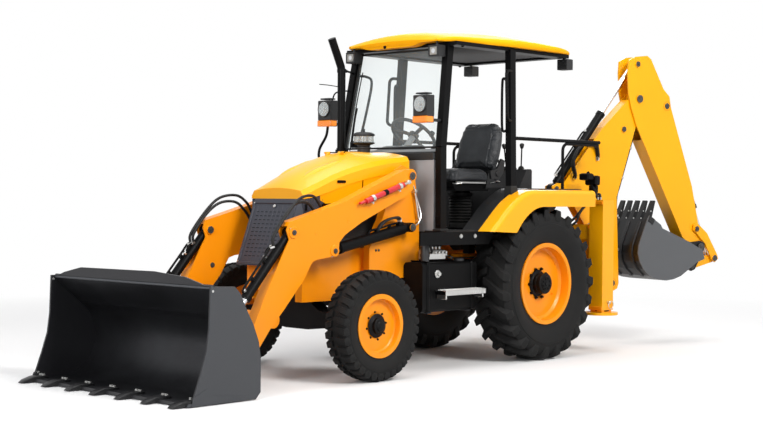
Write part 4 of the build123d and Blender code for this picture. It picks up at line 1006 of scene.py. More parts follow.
for a, b in zip(corners, corners[1:] + corners[:1]):
    gasket.rod(a, b, 0.0075, 8)
gasket.done()

# dashboard, levers, pedals
dash = Piece("dashCowl", "chassis", plastic)
dash.block(place(1.066, 0, 1.632), (0.062, 0.996, 0.070), chamfer=0.012)
dash.block(place(0.955, 0, 1.690), (0.150, 0.440, 0.040), Matrix.Rotation(0.32, 3, "Y"), 0.012)
for k in range(5):
    dash.rod(place(0.862, -0.17 + 0.045 * k, 1.560), place(0.850, -0.17 + 0.045 * k, 1.562), 0.009, 12,
             bevel=0.002)
dash.done()
dials = Piece("dashDials", "chassis", clearLens, "screen")
for y in (-0.15, -0.06, 0.06, 0.15):
    spot = place(0.884, y, 1.655)
    face = Vector((-0.96, 0, 0.28)).normalized()
    dials.rod(spot, spot + face * 0.012, 0.032 if abs(y) < 0.1 else 0.025, 28, bevel=0.003)
dials.done()
pedals = Piece("pedals", "chassis", black)
for y in (-0.17, -0.05, 0.20):
    pedals.block(place(0.840, y, 1.150), (0.018, 0.075, 0.085), Matrix.Rotation(-0.5, 3, "Y"), 0.005)
    pedals.sweep(spots([(0.850, y, 1.150), (0.905, y, 1.190), (0.925, y, 1.330)]), 0.009, 8)
pedals.done()
levers = Piece("leverStems", "chassis", black)
knobs = Piece("leverKnobs", "chassis", plastic)
boots = Piece("leverBoots", "chassis", hoseRubber)
for y, lean in ((-0.20, -0.03), (-0.12, -0.01), (-0.04, 0.0), (0.04, 0.0), (0.12, 0.01), (0.20, 0.03)):
    foot = place(-0.352, y, 1.555)
    head = place(-0.322, y + lean, 1.735)
    levers.rod(foot, head, 0.006, 10)
    knobs.lathe([(-0.004, 0.0), (0.0, 0.010), (0.012, 0.016), (0.030, 0.020), (0.042, 0.017), (0.048, 0.0)],
                head, head - foot, 24)
    boots.lathe([(-0.002, 0.030), (0.006, 0.026), (0.010, 0.029), (0.018, 0.021), (0.022, 0.024),
                 (0.032, 0.012), (0.036, 0.0)], foot, head - foot, 24)
foot, head = place(0.50, -0.365, 1.060), place(0.560, -0.330, 1.520)
levers.sweep([foot, place(0.50, -0.360, 1.25), head], 0.009, 10)
knobs.lathe([(-0.006, 0.0), (0.0, 0.014), (0.020, 0.022), (0.048, 0.024), (0.062, 0.016), (0.066, 0.0)], head,
            head - foot, 24)
boots.lathe([(-0.012, 0.055), (0.006, 0.050), (0.014, 0.040), (0.030, 0.036), (0.050, 0.018), (0.056, 0.0)],
            foot, aloft, 24)
levers.done()
knobs.done()
boots.done()
spinner = Piece("wheelKnob", "steering", plastic)
wheelNormal = Vector((-0.14, 0, 0.16)).normalized()
wheelCentre = place(0.940, 0, 1.640) + wheelNormal * 0.208
spinner.lathe([(0.030, 0.0), (0.030, 0.030), (0.040, 0.028), (0.046, 0.0)], wheelCentre, wheelNormal, 28)
edge = wheelCentre + wheelNormal * 0.004 + across * 0.190
spinner.lathe([(0.0, 0.0), (0.0, 0.008), (0.018, 0.010), (0.026, 0.022), (0.044, 0.020), (0.050, 0.0)], edge,
              wheelNormal, 20)
spinner.done()
print("controls made")

# seat rails, hinge covers and belt
rails = Piece("seatRails", "seat", zinc)
for y in (-0.165, 0.165):
    rails.block(place(0.270, y, 1.438), (0.370, 0.022, 0.018), chamfer=0.003)
rails.sweep(spots([(0.49, 0.165, 1.432), (0.52, 0.215, 1.425), (0.47, 0.245, 1.430)]), 0.006, 8)
rails.sweep(spots([(0.02, 0.170, 1.436), (-0.02, 0.235, 1.446), (0.04, 0.250, 1.452)]), 0.006, 8)
rails.done()
sides = Piece("seatHinges", "seat", plastic)
for y in (-0.246, 0.246):
    sides.loft([[place(a, y + w, b) for a, b in ((0.11, 1.470), (0.125, 1.535), (0.030, 1.560),
                                                 (-0.020, 1.640), (-0.065, 1.625), (-0.045, 1.520),
                                                 (0.010, 1.470))] for w in (-0.010, 0.010)])
    sides.rod(place(0.030, y, 1.515), place(0.030, y * 1.075, 1.515), 0.026, 24, bevel=0.004)
sides.done()
belt = Piece("seatBelt", "seat", vinyl, "vinyl")
for y in (-0.235, 0.235):
    belt.block(place(0.020, y, 1.480), (0.048, 0.004, 0.080), Matrix.Rotation(0.35, 3, "Y"), 0.001)
belt.block(place(0.035, 0.225, 1.552), (0.045, 0.026, 0.075), Matrix.Rotation(0.3, 3, "Y"), 0.006)
belt.done()
bellows = Piece("seatBellows", "chassis", hoseRubber)
profile = [(1.069, 0.100)]
for k in range(10):
    profile += [(1.095 + 0.024 * k, 0.098), (1.107 + 0.024 * k, 0.086)]
profile += [(1.330, 0.100), (1.352, 0.104), (1.352, 0.0), (1.069, 0.0)]
bellows.lathe(profile, place(0.205, 0, 0), (0, 0, 1), 40)
bellows.done()

# roof lining and its bolts
Piece("roofLining", "chassis", lining).block(place(0.24, 0, 2.512), (1.26, 0.94, 0.012), chamfer=0.005).done()
roofBolts = Piece("roofBolts", "chassis", black)
for label, side in leftRight:
    for x in (0.86, 0.30, -0.44):
        roofBolts.bolt(place(x, side * 0.575, 2.490), (0, 0, -1), 0.020, 0.010)
    for x, y, z in ((1.060, 0.538, 1.10), (1.060, 0.536, 1.16)):
        roofBolts.bolt(place(x + 0.033, side * y, z), fore, 0.018, 0.009)
roofBolts.done()
Piece("visorBolt", "chassis", black).bolt(place(1.048, -0.08, 2.508), fore, 0.020, 0.008).done()
rubberFeet = Piece("postBoots", "chassis", hoseRubber)
for label, side in leftRight:
    ring = []
    for z, grow in ((1.300, 0.010), (1.385, 0.008), (1.410, 0.0)):
        ring.append([place(0.330 + a * (0.033 + grow), side * 0.640 + b * (0.028 + grow), z)
                     for a, b in ((-1, -1), (1, -1), (1, 1), (-1, 1))])
    rubberFeet.loft(ring)
    rubberFeet.block(place(1.060, side * 0.540, 1.062), (0.100, 0.090, 0.024), chamfer=0.006)
rubberFeet.done()
grips = Piece("grabRails", "chassis", black)
grips.sweep(spots([(1.010, -0.470, 1.760), (0.985, -0.420, 1.780), (0.900, -0.400, 2.10),
                   (0.870, -0.400, 2.26), (0.905, -0.430, 2.300), (0.960, -0.485, 2.305)]), 0.011, 10)
grips.sweep(spots([(1.020, 0.505, 1.760), (0.985, 0.500, 1.790), (0.925, 0.480, 2.060), (0.945, 0.490, 2.095),
                   (0.985, 0.508, 2.10)]), 0.011, 10)
for side in (-1, 1):
    grips.sweep(spots([(0.350, 0.590, 2.262), (0.372, 0.590, 2.268), (0.388, 0.590, 2.236),
                       (0.392, 0.590, 2.060), (0.388, 0.590, 1.876), (0.368, 0.590, 1.846),
                       (0.345, 0.590, 1.852)], side), 0.0105, 10)
grips.done()
print("cab made")

# sill, tank, step and the valve under the cab
for label, side in leftRight:
    out = Vector((0, side, 0))
    trim = Piece(f"sillBolts_{label}", "chassis", zinc)
    for x in (0.937, 0.771):
        trim.bolt(place(x, side * 0.640, 1.016), out, 0.022, 0.010)
    trim.rod(place(1.167, side * 0.600, 0.731), place(1.167, side * 0.612, 0.731), 0.030, 28, bevel=0.003)
    trim.fitting(place(1.167, side * 0.612, 0.731), place(1.167, side * 0.632, 0.731), 0.017)
    trim.done()
    mat = Piece(f"sillMat_{label}", "chassis", hoseRubber)
    mat.block(place(0.880, side * 0.520, 1.053), (0.440, 0.225, 0.010), chamfer=0.002)
    for k in range(14):
        mat.block(place(0.695 + 0.0285 * k, side * 0.520, 1.059), (0.012, 0.205, 0.004), chamfer=0.001)
    mat.done()
    step = Piece(f"treadStep_{label}", "chassis", zinc)
    step.block(place(0.950, side * 0.655, 0.6055), (0.470, 0.104, 0.007))
    step.block(place(0.950, side * 0.7045, 0.589), (0.470, 0.009, 0.038), chamfer=0.002)
    for k in range(23):
        x = 0.730 + 0.020 * k
        for y in (0.620, 0.640, 0.660, 0.680, 0.698):
            step.rod(place(x + (0.010 if y in (0.640, 0.680) else 0.0), side * y, 0.608),
                     place(x + (0.010 if y in (0.640, 0.680) else 0.0), side * y, 0.614), 0.0055, 6,
                     tip=0.003)
        step.block(place(x, side * 0.7095, 0.590), (0.010, 0.003, 0.020), chamfer=0.001)
    for x in (0.735, 1.165):
        step.block(place(x, side * 0.650, 0.560), (0.014, 0.095, 0.040), chamfer=0.003)
    step.done()
    cap = Piece(f"tankCap_{label}", "chassis", plastic)
    cap.lathe([(0.818, 0.0), (0.818, 0.042), (0.838, 0.042), (0.842, 0.036), (0.842, 0.0)],
              place(0.82, side * 0.520, 0), (0, 0, 1), 28)
    for x in (0.78, 1.24):
        cap.block(place(x, side * 0.5, 0.436), (0.050, 0.180, 0.010), chamfer=0.002)
    cap.done()
    seam = Piece(f"tankStraps_{label}", "chassis", black)
    for x in (0.760, 1.270):
        seam.sweep(spots([(x, 0.430, 0.8235), (x, 0.560, 0.8235), (x, 0.5945, 0.812), (x, 0.6035, 0.780),
                          (x, 0.6035, 0.480), (x, 0.596, 0.452), (x, 0.560, 0.4365)], side), 0.013, 8, 5,
                   flat=0.30)
    seam.done()
tubes = Piece("filterTube", "chassis", plastic)
tubes.lathe([(0.826, 0.0), (0.826, 0.034), (0.980, 0.034), (0.986, 0.030), (0.992, 0.012), (1.000, 0.0)],
            place(1.245, 0.545, 0), (0, 0, 1), 28)
tubes.band(0.862, 0.882, 0.034, 0.038, place(1.245, 0.545, 0), (0, 0, 1), 28)
tubes.done()
valveBody = Piece("valveBlock", "chassis", zinc)
valveBody.block(place(1.080, 0.470, 0.872), (0.200, 0.110, 0.080), chamfer=0.008)
for k in range(5):
    valveBody.fitting(place(1.000 + 0.040 * k, 0.524, 0.890), place(1.000 + 0.040 * k, 0.548, 0.892), 0.011)
    valveBody.fitting(place(1.000 + 0.040 * k, 0.470, 0.910), place(1.000 + 0.040 * k, 0.470, 0.935), 0.010)
valveBody.rod(place(0.975, 0.470, 0.870), place(0.930, 0.470, 0.870), 0.026, 20, bevel=0.004)
valveBody.done()
lines = Piece("valveHoses", "chassis", hoseRubber)
for k in range(5):
    x = 1.000 + 0.040 * k
    lines.sweep(spots([(x, 0.470, 0.930), (x - 0.01, 0.462, 0.965), (x - 0.08, 0.42, 0.975),
                       (x - 0.16, 0.34, 0.925 - 0.01 * k), (x - 0.20, 0.295, 0.885 - 0.01 * k)]), 0.009, 10)
lines.sweep(spots([(1.160, 0.530, 0.890), (1.190, 0.565, 0.905), (1.225, 0.560, 0.990), (1.200, 0.500, 1.010),
                   (1.12, 0.43, 0.985), (1.06, 0.31, 0.93)]), 0.010, 10)
lines.done()
pipes = Piece("chassisPipes", "chassis", zinc)
for k in range(3):
    z = 0.790 + 0.020 * k
    pipes.sweep(spots([(-0.66, 0.306, z), (0.55, 0.306, z), (0.66, 0.306, z + 0.01),
                       (0.90, 0.310, 0.85 + 0.02 * k)]), 0.0065, 8)
pipes.done()
print("underside made")

# loader arms: strut, pins, pipes and hoses
strut = {"low": (1.820, 1.298), "high": (1.533, 1.389), "y": 0.535, "radius": 0.0215}
lowEnd, highEnd = place(strut["low"][0], strut["y"], strut["low"][1]), place(strut["high"][0], strut["y"],
                                                                             strut["high"][1])
way = (highEnd - lowEnd).normalized()
red = Piece("safetyStrut", "arms", redPaint)
red.rod(lowEnd - way * 0.060, highEnd + way * 0.060, strut["radius"], 24, bevel=0.003)
red.block(lowEnd - way * 0.085 + Vector((0, -0.006, 0.002)), (0.070, 0.030, 0.018),
          Matrix.Rotation(0.30, 3, "Y"), 0.004)
red.done()
clamps = Piece("strutClamps", "arms", zinc)
turn = Matrix.Rotation(math.atan2(-way.z, way.x), 3, "Y")
for s in (0.045, 0.345):
    spot = lowEnd + way * (s - 0.03)
    clamps.band(-0.014, 0.014, 0.0218, 0.0255, spot, way, 24)
    clamps.block(spot + Vector((0, -0.019, -0.024)), (0.028, 0.034, 0.012), turn, 0.002)
    clamps.bolt(spot + Vector((0, 0.004, -0.032)), across, 0.013, 0.006)
clamps.rod(highEnd + way * 0.060, highEnd + way * 0.115, 0.009, 12, bevel=0.002)
clamps.block(highEnd + way * 0.125 + Vector((0, -0.014, 0)), (0.034, 0.042, 0.030), turn, 0.004)
clamps.done()
sleeve = Piece("strutBand", "arms", black)
middle = lowEnd + way * 0.155
sleeve.band(-0.018, 0.018, 0.0216, 0.0232, middle, way, 24)
sleeve.done()

armPins = {"lift": (2.159, 0.925), "knee": (2.560, 1.062)}
for label, side in leftRight:
    out = Vector((0, side, 0))
    pins = Piece(f"armPins_{label}", "arms", hoeSteel)
    for x, z in armPins.values():
        pinCap(pins, place(x, side * 0.508, z), out, 0.019)
    x, z = armPins["knee"]
    pinCap(pins, place(x, side * 0.402, z), -out, 0.028, 0.006)
    pinCap(pins, place(2.535, side * 0.4095, 0.801), -out, 0.020, 0.005)
    pins.done()
    bosses = Piece(f"armBosses_{label}", "arms", yellowShaded)
    for x, z in armPins.values():
        bosses.lathe([(-0.003, 0.0), (-0.003, 0.042), (0.006, 0.042), (0.009, 0.039), (0.009, 0.0)],
                     place(x, side * 0.500, z), out, 36)
    bosses.done()
    pivot = Piece(f"pivotPins_{label}", "chassis", hoeSteel)
    pinCap(pivot, place(1.350, side * 0.506, 1.475), out, 0.030)
    pinCap(pivot, place(1.340, side * 0.506, 1.085), out, 0.028)
    for a, b in ((1.63, 0.915), (1.60, 0.915)):
        pivot.bolt(place(a, side * 0.400, b), out, 0.014, 0.007)
    pivot.done()
    welds = Piece(f"armWelds_{label}", "arms", yellowShaded)
    topLine = [(1.470, 1.4975), (1.75, 1.392), (2.030, 1.284), (2.35, 1.1935), (2.56, 1.1395)]
    for y in (side * 0.4925, side * 0.4175):
        welds.sweep([place(a, y, b + 0.0015) for a, b in topLine], 0.0035, 6, 4)
    for a, b in ((2.34, 1.055), (2.02, 1.14)):
        welds.rod(place(a, side * 0.4995, b), place(a, side * 0.5025, b), 0.013, 20, bevel=0.001)
    welds.done()
    nipple = Piece(f"armNipples_{label}", "arms", zinc)
    for a, b in ((1.395, 1.440), (2.190, 0.885), (2.595, 1.090), (2.925, 0.300)):
        nipple.rod(place(a, side * 0.499, b), place(a, side * 0.512, b), 0.0042, 8, tip=0.003)
    nipple.done()

    # pipes along the crowd ram and the hoses that feed them
    base, tip = Vector((2.560, 1.062)), Vector((3.085, 0.470))
    ramWay = (tip - base).normalized()
    ramSquare = Vector((-ramWay.y, ramWay.x))

    def byRam(s, lift, y):
        p = base + ramWay * s + ramSquare * lift
        return place(p.x, side * y, p.y)

    pipe = Piece(f"crowdPipes_{label}", "crowd_barrels", black)
    pipe.sweep(along(byRam, [(0.175, 0.052, 0.455), (0.200, 0.062, 0.455), (0.28, 0.060, 0.455),
                             (0.48, 0.060, 0.455), (0.560, 0.058, 0.455), (0.582, 0.040, 0.455)]), 0.0085, 10)
    pipe.sweep(along(byRam, [(0.160, 0.036, 0.440), (0.180, 0.052, 0.432), (0.22, 0.058, 0.430),
                             (0.260, 0.038, 0.436)]), 0.0085, 10)
    for s in (0.30, 0.46):
        pipe.block(byRam(s, 0.044, 0.455), (0.026, 0.034, 0.034),
                   Matrix.Rotation(math.atan2(-ramWay.y, ramWay.x), 3, "Y"), 0.004)
    pipe.done()
    gland = Piece(f"crowdGland_{label}", "crowd_barrels", zinc)
    for s in (0.560, 0.262):
        gland.fitting(byRam(s, 0.030, 0.455 if s > 0.3 else 0.440),
                      byRam(s, 0.056, 0.455 if s > 0.3 else 0.438), 0.012)
    gland.fitting(byRam(0.166, 0.040, 0.455), byRam(0.200, 0.062, 0.455), 0.0125)
    gland.fitting(byRam(0.152, 0.030, 0.440), byRam(0.178, 0.052, 0.432), 0.0125)
    gland.done()
    hose = Piece(f"kneeHoses_{label}", "arms", hoseRubber)
    hose.sweep([byRam(0.170, 0.046, 0.455), byRam(0.110, 0.090, 0.455), place(2.560, side * 0.452, 1.205),
                place(2.440, side * 0.440, 1.300), place(2.300, side * 0.415, 1.318),
                place(2.215, side * 0.395, 1.262), place(2.150, side * 0.395, 1.170),
                place(2.080, side * 0.398, 1.150)], 0.0105, 10, 8)
    hose.sweep([byRam(0.156, 0.036, 0.440), byRam(0.105, 0.080, 0.436), place(2.575, side * 0.432, 1.180),
                place(2.460, side * 0.415, 1.262), place(2.330, side * 0.392, 1.268),
                place(2.240, side * 0.385, 1.200), place(2.160, side * 0.396, 1.120),
                place(2.080, side * 0.398, 1.100)], 0.0105, 10, 8)
    hose.done()
    inner = Piece(f"armPipes_{label}", "arms", zinc)
    for z in (1.150, 1.100):
        inner.sweep(spots([(2.092, 0.398, z), (2.020, 0.401, z + 0.012), (1.70, 0.401, z + 0.135),
                           (1.45, 0.401, z + 0.250)], side), 0.0075, 8)
        inner.fitting(place(2.100, side * 0.398, z), place(2.068, side * 0.399, z + 0.004), 0.0125)
    inner.done()

    # lift ram port, clip and hoses at its foot
    foot, top = Vector((1.340, 1.085)), Vector((2.159, 0.925))
    liftWay = (top - foot).normalized()
    liftSquare = Vector((-liftWay.y, liftWay.x))
    liftLean = Matrix.Rotation(math.atan2(-liftWay.y, liftWay.x), 3, "Y")

    def byLift(s, lift, y):
        p = foot + liftWay * s + liftSquare * lift
        return place(p.x, side * y, p.y)

    port = Piece(f"liftPorts_{label}", "lift_barrels", black)
    port.sweep(along(byLift, [(0.095, 0.050, 0.455), (0.130, 0.058, 0.455), (0.28, 0.056, 0.455),
                              (0.400, 0.056, 0.455), (0.430, 0.036, 0.455)]), 0.008, 10)
    for s in (0.20, 0.34):
        port.block(byLift(s, 0.046, 0.455), (0.024, 0.030, 0.026), liftLean, 0.004)
    port.block(byLift(0.085, 0.044, 0.455), (0.050, 0.050, 0.030), liftLean, 0.006)
    port.done()
    elbows = Piece(f"liftElbows_{label}", "lift_barrels", zinc)
    for y in (0.445, 0.467):
        elbows.fitting(byLift(0.085, 0.058, y), byLift(0.080, 0.085, y), 0.0105)
    elbows.done()
    feed = Piece(f"liftHoses_{label}", "lift_barrels", hoseRubber)
    for y, extra in ((0.445, 0.0), (0.467, 0.012)):
        feed.sweep(along(byLift, [(0.080, 0.078, y), (0.105, 0.094 + extra * 0.3, y),
                                  (0.180, 0.100 + extra * 0.3, y), (0.255, 0.088 + extra * 0.3, y - 0.004),
                                  (0.300 + extra, 0.056, y - 0.010), (0.308 + extra, 0.030, y - 0.012)]),
                   0.0100, 10)
    feed.done()

    # self-levelling rods behind the tower
    rodPiece = Piece(f"towerRods_{label}", "chassis", zinc)
    rodPiece.sweep(spots([(1.215, 0.415, 1.335), (1.190, 0.420, 1.270), (1.180, 0.440, 1.180),
                          (1.215, 0.450, 1.120), (1.252, 0.452, 1.100)], side), 0.0065, 8)
    rodPiece.rod(place(1.232, side * 0.426, 1.360), place(1.188, side * 0.430, 1.130), 0.0075, 12,
                 bevel=0.002)
    for a, b in ((1.232, 1.360), (1.188, 1.130)):
        rodPiece.rod(place(a, side * 0.398, b), place(a, side * 0.440, b), 0.014, 18, bevel=0.002)
    rodPiece.rod(place(1.262, side * 0.398, 1.425), place(1.262, side * 0.432, 1.425), 0.011, 14, bevel=0.002)
    rodPiece.rod(place(1.262, side * 0.426, 1.425), place(1.224, side * 0.426, 1.350), 0.006, 10)
    rodPiece.done()
print("loader arms made")

# loader bucket: teeth, bolts, lining, rivets, shoes and ribs
nuts = Piece("bucketBolts", "bucket_front", zinc)
for k in range(7):
    y = -0.840 + 0.280 * k
    for w in (-0.017, 0.017):
        nuts.bolt(place(3.716, y + w, 0.0430), (0.02, 0, 1), 0.020, 0.012)
nuts.done()
edge = Piece("bucketTeeth", "bucket_front", toothSteel)
for k in range(7):
    y = -0.840 + 0.280 * k
    rings = []
    for x, wide, high, low in ((3.688, 0.036, 0.0300, 0.010), (3.700, 0.046, 0.0440, 0.008),
                               (3.775, 0.046, 0.0440, 0.006), (3.800, 0.034, 0.0440, 0.005),
                               (3.868, 0.0325, 0.0240, 0.0045), (3.892, 0.026, 0.0100, 0.0045)):
        rings.append(spots([(x, y - wide, low), (x, y - wide, high - 0.004), (x, y - wide + 0.006, high),
                            (x, y + wide - 0.006, high), (x, y + wide, high - 0.004), (x, y + wide, low)]))
    edge.loft(rings)
edge.done()
inner = Piece("bucketSkin", "bucket_front", bucketDark)
curve = [(3.5925, 0.7435), (3.545, 0.685)]
for k in range(41):
    turn = math.radians(122 + 3.45 * k)
    curve.append((3.520 + 0.2765 * math.cos(turn), 0.300 + 0.2765 * math.sin(turn)))
curve += [(3.540, 0.0235), (3.690, 0.0235)]
rings = []
for y in (-0.8765, 0.8765):
    rings.append([place(a, y, b) for a, b in curve] + [place(a - 0.002, y, b - 0.0015)
                                                       for a, b in reversed(curve)])
inner.loft(rings)
inner.done()
for label, side in leftRight:
    rivets = Piece(f"bucketRivets_{label}", "bucket_front", zinc)
    for x, z in ((3.600, 0.716), (3.722, 0.062)):
        rivets.rod(place(x, side * 0.8925, z), place(x, side * 0.8955, z), 0.008, 14, bevel=0.001)
        rivets.rod(place(x, side * 0.8775, z), place(x, side * 0.8735, z), 0.008, 14, bevel=0.001)
    rivets.done()
    Piece(f"bucketShoe_{label}", "bucket_front",
          loaderSteel).loft([[place(a, side * w, b)
                              for a, b in ((3.300, 0.006), (3.768, 0.006), (3.752, 0.060), (3.640, 0.110),
                                           (3.600, 0.062), (3.310, 0.030))] for w in (0.8925, 0.8965)]).done()
    bucketPins = Piece(f"bucketPins_{label}", "bucket_front", hoeSteel)
    for (x, z), r in (((2.950, 0.250), 0.030), ((3.085, 0.470), 0.030)):
        for y, way in ((0.5195, 1), (0.3905, -1)):
            pinCap(bucketPins, place(x, side * y, z), (0, side * way, 0), r, 0.008)
    bucketPins.done()
rib = Piece("bucketBackRibs", "bucket_front", bucketSteel)
for y in (-0.70, -0.235, 0.235, 0.70):
    rings = []
    for k in range(9):
        turn = math.radians(122 + 15 * k)
        rings.append([place(3.520 + (0.280 + q) * math.cos(turn), y + w, 0.300 + (0.280 + q) * math.sin(turn))
                      for w, q in ((-0.020, 0.010), (0.020, 0.010), (0.020, 0.021), (-0.020, 0.021))])
    rib.loft(rings)
rib.done()
Piece("bucketLip", "bucket_front", bucketSteel).rod(place(3.5835, -0.875, 0.7335),
                                                    place(3.5835, 0.875, 0.7335), 0.0095, 12).done()
print("loader bucket made")

# rear frame, stabilisers and sliding carriage
for label, side in leftRight:
    out = Vector((0, side, 0))
    lock = Piece(f"stabiliserPin_{label}", "chassis", zinc)
    lock.rod(place(stabiliserX, side * 0.742, 0.428), place(stabiliserX, side * 0.778, 0.428), 0.013, 18,
             bevel=0.002)
    ringPoints = [place(stabiliserX + 0.034 * math.cos(k * math.tau / 20) - 0.022, side * 0.770,
                        0.424 + 0.034 * math.sin(k * math.tau / 20) - 0.020) for k in range(21)]
    lock.sweep(ringPoints, 0.0036, 8, 1)
    for z in (0.60, 0.78, 0.96):
        lock.rod(place(stabiliserX, side * 0.7395, z), place(stabiliserX, side * 0.7425, z), 0.016, 20)
    lock.done()
    head = Piece(f"stabiliserHead_{label}", "chassis", black)
    lampY = 0.560 if side > 0 else -0.695
    head.block(place(-0.890, lampY, 1.470), (0.070, 0.120, 0.085), chamfer=0.010)
    head.block(place(-0.800, lampY, 1.500), (0.090, 0.100, 0.060), chamfer=0.010)
    head.block(place(-0.905, lampY, 1.395), (0.040, 0.080, 0.070), chamfer=0.008)
    head.rod(place(stabiliserX, side * 0.650, 1.300), place(-0.870, lampY, 1.440), 0.014, 12, bevel=0.002)
    head.rod(place(stabiliserX, lampY, 1.505), place(-0.820, lampY, 1.540), 0.012, 12, bevel=0.002)
    head.done()
    collar = Piece(f"stabiliserCollar_{label}", "chassis", yellowShaded)
    for low, high in ((0.361, 0.392), (1.262, 1.288)):
        for x, wide in ((-0.776, 0.008), (-0.944, 0.008)):
            collar.block(place(x, side * 0.680, (low + high) / 2), (wide, 0.134, high - low), chamfer=0.002)
        for y in (0.743, 0.617):
            collar.block(place(stabiliserX, side * y, (low + high) / 2), (0.172, 0.007, high - low),
                         chamfer=0.002)
    collar.done()
    fittings = Piece(f"stabiliserElbows_{label}", "chassis", zinc)
    for x in (-0.880, -0.840):
        fittings.fitting(place(x, side * 0.652, 1.302), place(x, side * 0.652, 1.326), 0.0105)
    fittings.done()
    supply = Piece(f"stabiliserHoses_{label}", "chassis", hoseRubber)
    supply.sweep(spots([(-0.880, 0.652, 1.320), (-0.885, 0.630, 1.352), (-0.850, 0.565, 1.300),
                        (-0.765, 0.520, 1.190), (-0.735, 0.500, 1.110), (-0.70, 0.40, 1.040)], side), 0.0105,
                 10)
    supply.sweep(spots([(-0.840, 0.652, 1.320), (-0.840, 0.622, 1.348), (-0.815, 0.550, 1.270),
                        (-0.755, 0.490, 1.160), (-0.72, 0.43, 1.095), (-0.69, 0.36, 1.020)], side), 0.0105,
                 10)
    supply.done()
    footBody = "stab_l" if side > 0 else "stab_r"
    Piece(f"stabiliserFoot_{label}", footBody, black).lathe([(0.350, 0.0), (0.350, 0.062), (0.356, 0.070),
                                                             (0.366, 0.070), (0.366, 0.0)],
                                                            place(stabiliserX, side * 0.680, 0)
                                                            - aloft * 0.006, (0, 0, 1), 32).done()
    for part, z, tall, stuff in (("Brake", 1.487, 0.040, redPaint), ("Turn", 1.448, 0.030, amberLens)):
        Piece(f"tailLens{part}_{label}", "chassis", stuff).block(place(-0.927, lampY, z),
                                                                 (0.008, 0.104, tall), chamfer=0.003).done()
    plate = Piece(f"railPlate_{label}", "chassis", hoeSteel)
    for z in (0.535, 0.945):
        plate.block(place(-0.897, side * 0.655, z), (0.006, 0.040, 0.012))
    plate.done()
rails = Piece("railWear", "chassis", chrome)
for z in (0.5205, 0.4295, 1.0605, 0.9595):
    rails.block(place(-0.848, 0, z), (0.070, 1.200, 0.0014))
rails.done()
Piece("rearValveBank", "chassis", plastic).block(place(-0.655, 0.30, 1.005), (0.090, 0.34, 0.120),
                                                 chamfer=0.008).done()
bankPorts = Piece("rearValvePorts", "chassis", zinc)
for k in range(6):
    for z in (0.975, 1.030):
        bankPorts.fitting(place(-0.698, 0.160 + 0.056 * k, z), place(-0.722, 0.160 + 0.056 * k, z), 0.0115)
bankPorts.done()
slideTrim = Piece("carriageBolts", "shift_carriage", zinc)
for sideY in (-0.165, 0.165):
    for z in (0.470, 0.520, 0.960, 1.015):
        slideTrim.bolt(place(-0.9355, kingpostY + sideY, z), (-1, 0, 0), 0.026, 0.012)
for sideY in (-0.13, 0.13):
    for z, way in ((1.086, 1), (0.404, -1)):
        slideTrim.bolt(place(-0.915, kingpostY + sideY, z + 0.004 * way), (0, 0, way), 0.020, 0.010)
slideTrim.done()
wearPads = Piece("carriagePads", "shift_carriage", bucketSteel)
for sideY in (-0.150, 0.150):
    wearPads.block(place(-0.938, kingpostY + sideY, 0.995), (0.006, 0.080, 0.120), chamfer=0.002)
    wearPads.block(place(-0.938, kingpostY + sideY, 0.495), (0.006, 0.080, 0.120), chamfer=0.002)
wearPads.done()
print("rear frame made")

# slewing rams beside the kingpost
kingAxis = place(kingpostX, kingpostY, 0)
slewPieces = Piece("slewCylinders", "shift_carriage", black)
slewRods = Piece("slewRods", "shift_carriage", chrome)
for sideY in (-1, 1):
    start = place(-0.945, kingpostY + sideY * 0.185, 0.800)
    end = place(-1.010, kingpostY + sideY * 0.125, 0.800)
    slewPieces.rod(start, start + (end - start) * 0.80, 0.034, 28, bevel=0.004)
    slewRods.rod(start + (end - start) * 0.78, end, 0.017, 18, bevel=0.002)
slewPieces.done()
slewRods.done()
posts = Piece("kingpostCaps", "shift_carriage", hoeSteel)
for z, way in ((0.5145, -1), (0.786, 1)):
    pinCap(posts, kingAxis + Vector((0, 0, z + 0.004 * way)), (0, 0, way), 0.036)
posts.done()

# boom
hoePins("boomPins", "boom_body", [(0.265, 1.936, 0.0585, 0.024), (-0.490, 1.400, 0.0605, 0.020)], 0.007)
hoePins("boomFootPins", "kingpost_body", [(0.150, 0.560, 0.0525, 0.028)], 0.007)
boomSteel = Piece("boomPipes", "boom_body", black)
backLine = [(0.214, 0.760), (0.206, 1.000), (0.196, 1.300), (0.236, 1.440), (0.330, 1.715), (0.428, 2.000)]
for w in (-0.030, -0.010, 0.010, 0.030):
    boomSteel.sweep([hoePlace(u + 0.013, z, w) for u, z in backLine], 0.0070, 8)
boomSteel.done()
boomClips = Piece("boomClips", "boom_body", zinc)
for u, z, lean in ((0.216, 0.860, 0.03), (0.204, 1.160, 0.03), (0.258, 1.500, -0.33), (0.352, 1.770, -0.33)):
    spin = hoeSpin @ Matrix.Rotation(lean, 3, "Y")
    boomClips.block(hoePlace(u + 0.012, z, 0), (0.020, 0.086, 0.022), spin, 0.003)
    boomClips.bolt(hoePlace(u + 0.021, z, 0), hoeSpin @ Vector((-1, 0, 0)), 0.012, 0.006)
boomClips.done()
boomWelds = Piece("boomWelds", "boom_body", yellowShaded)
for w in (-0.0525, 0.0525):
    for u, z, r in ((0.430, 2.212, 0.054), (0.150, 0.560, 0.046)):
        boomWelds.band(-0.0015, 0.0015, r - 0.004, r, hoePlace(u, z, w), hoeAcross, 36)
boomWelds.done()


def hoeRam(base, tip):
    start = Vector(base)
    way = (Vector(tip) - start).normalized()
    square = Vector((-way.y, way.x))

    def at(s, lift, offset=0.0):
        p = start + way * s + square * lift
        return hoePlace(p.x, p.y, offset)

    return at


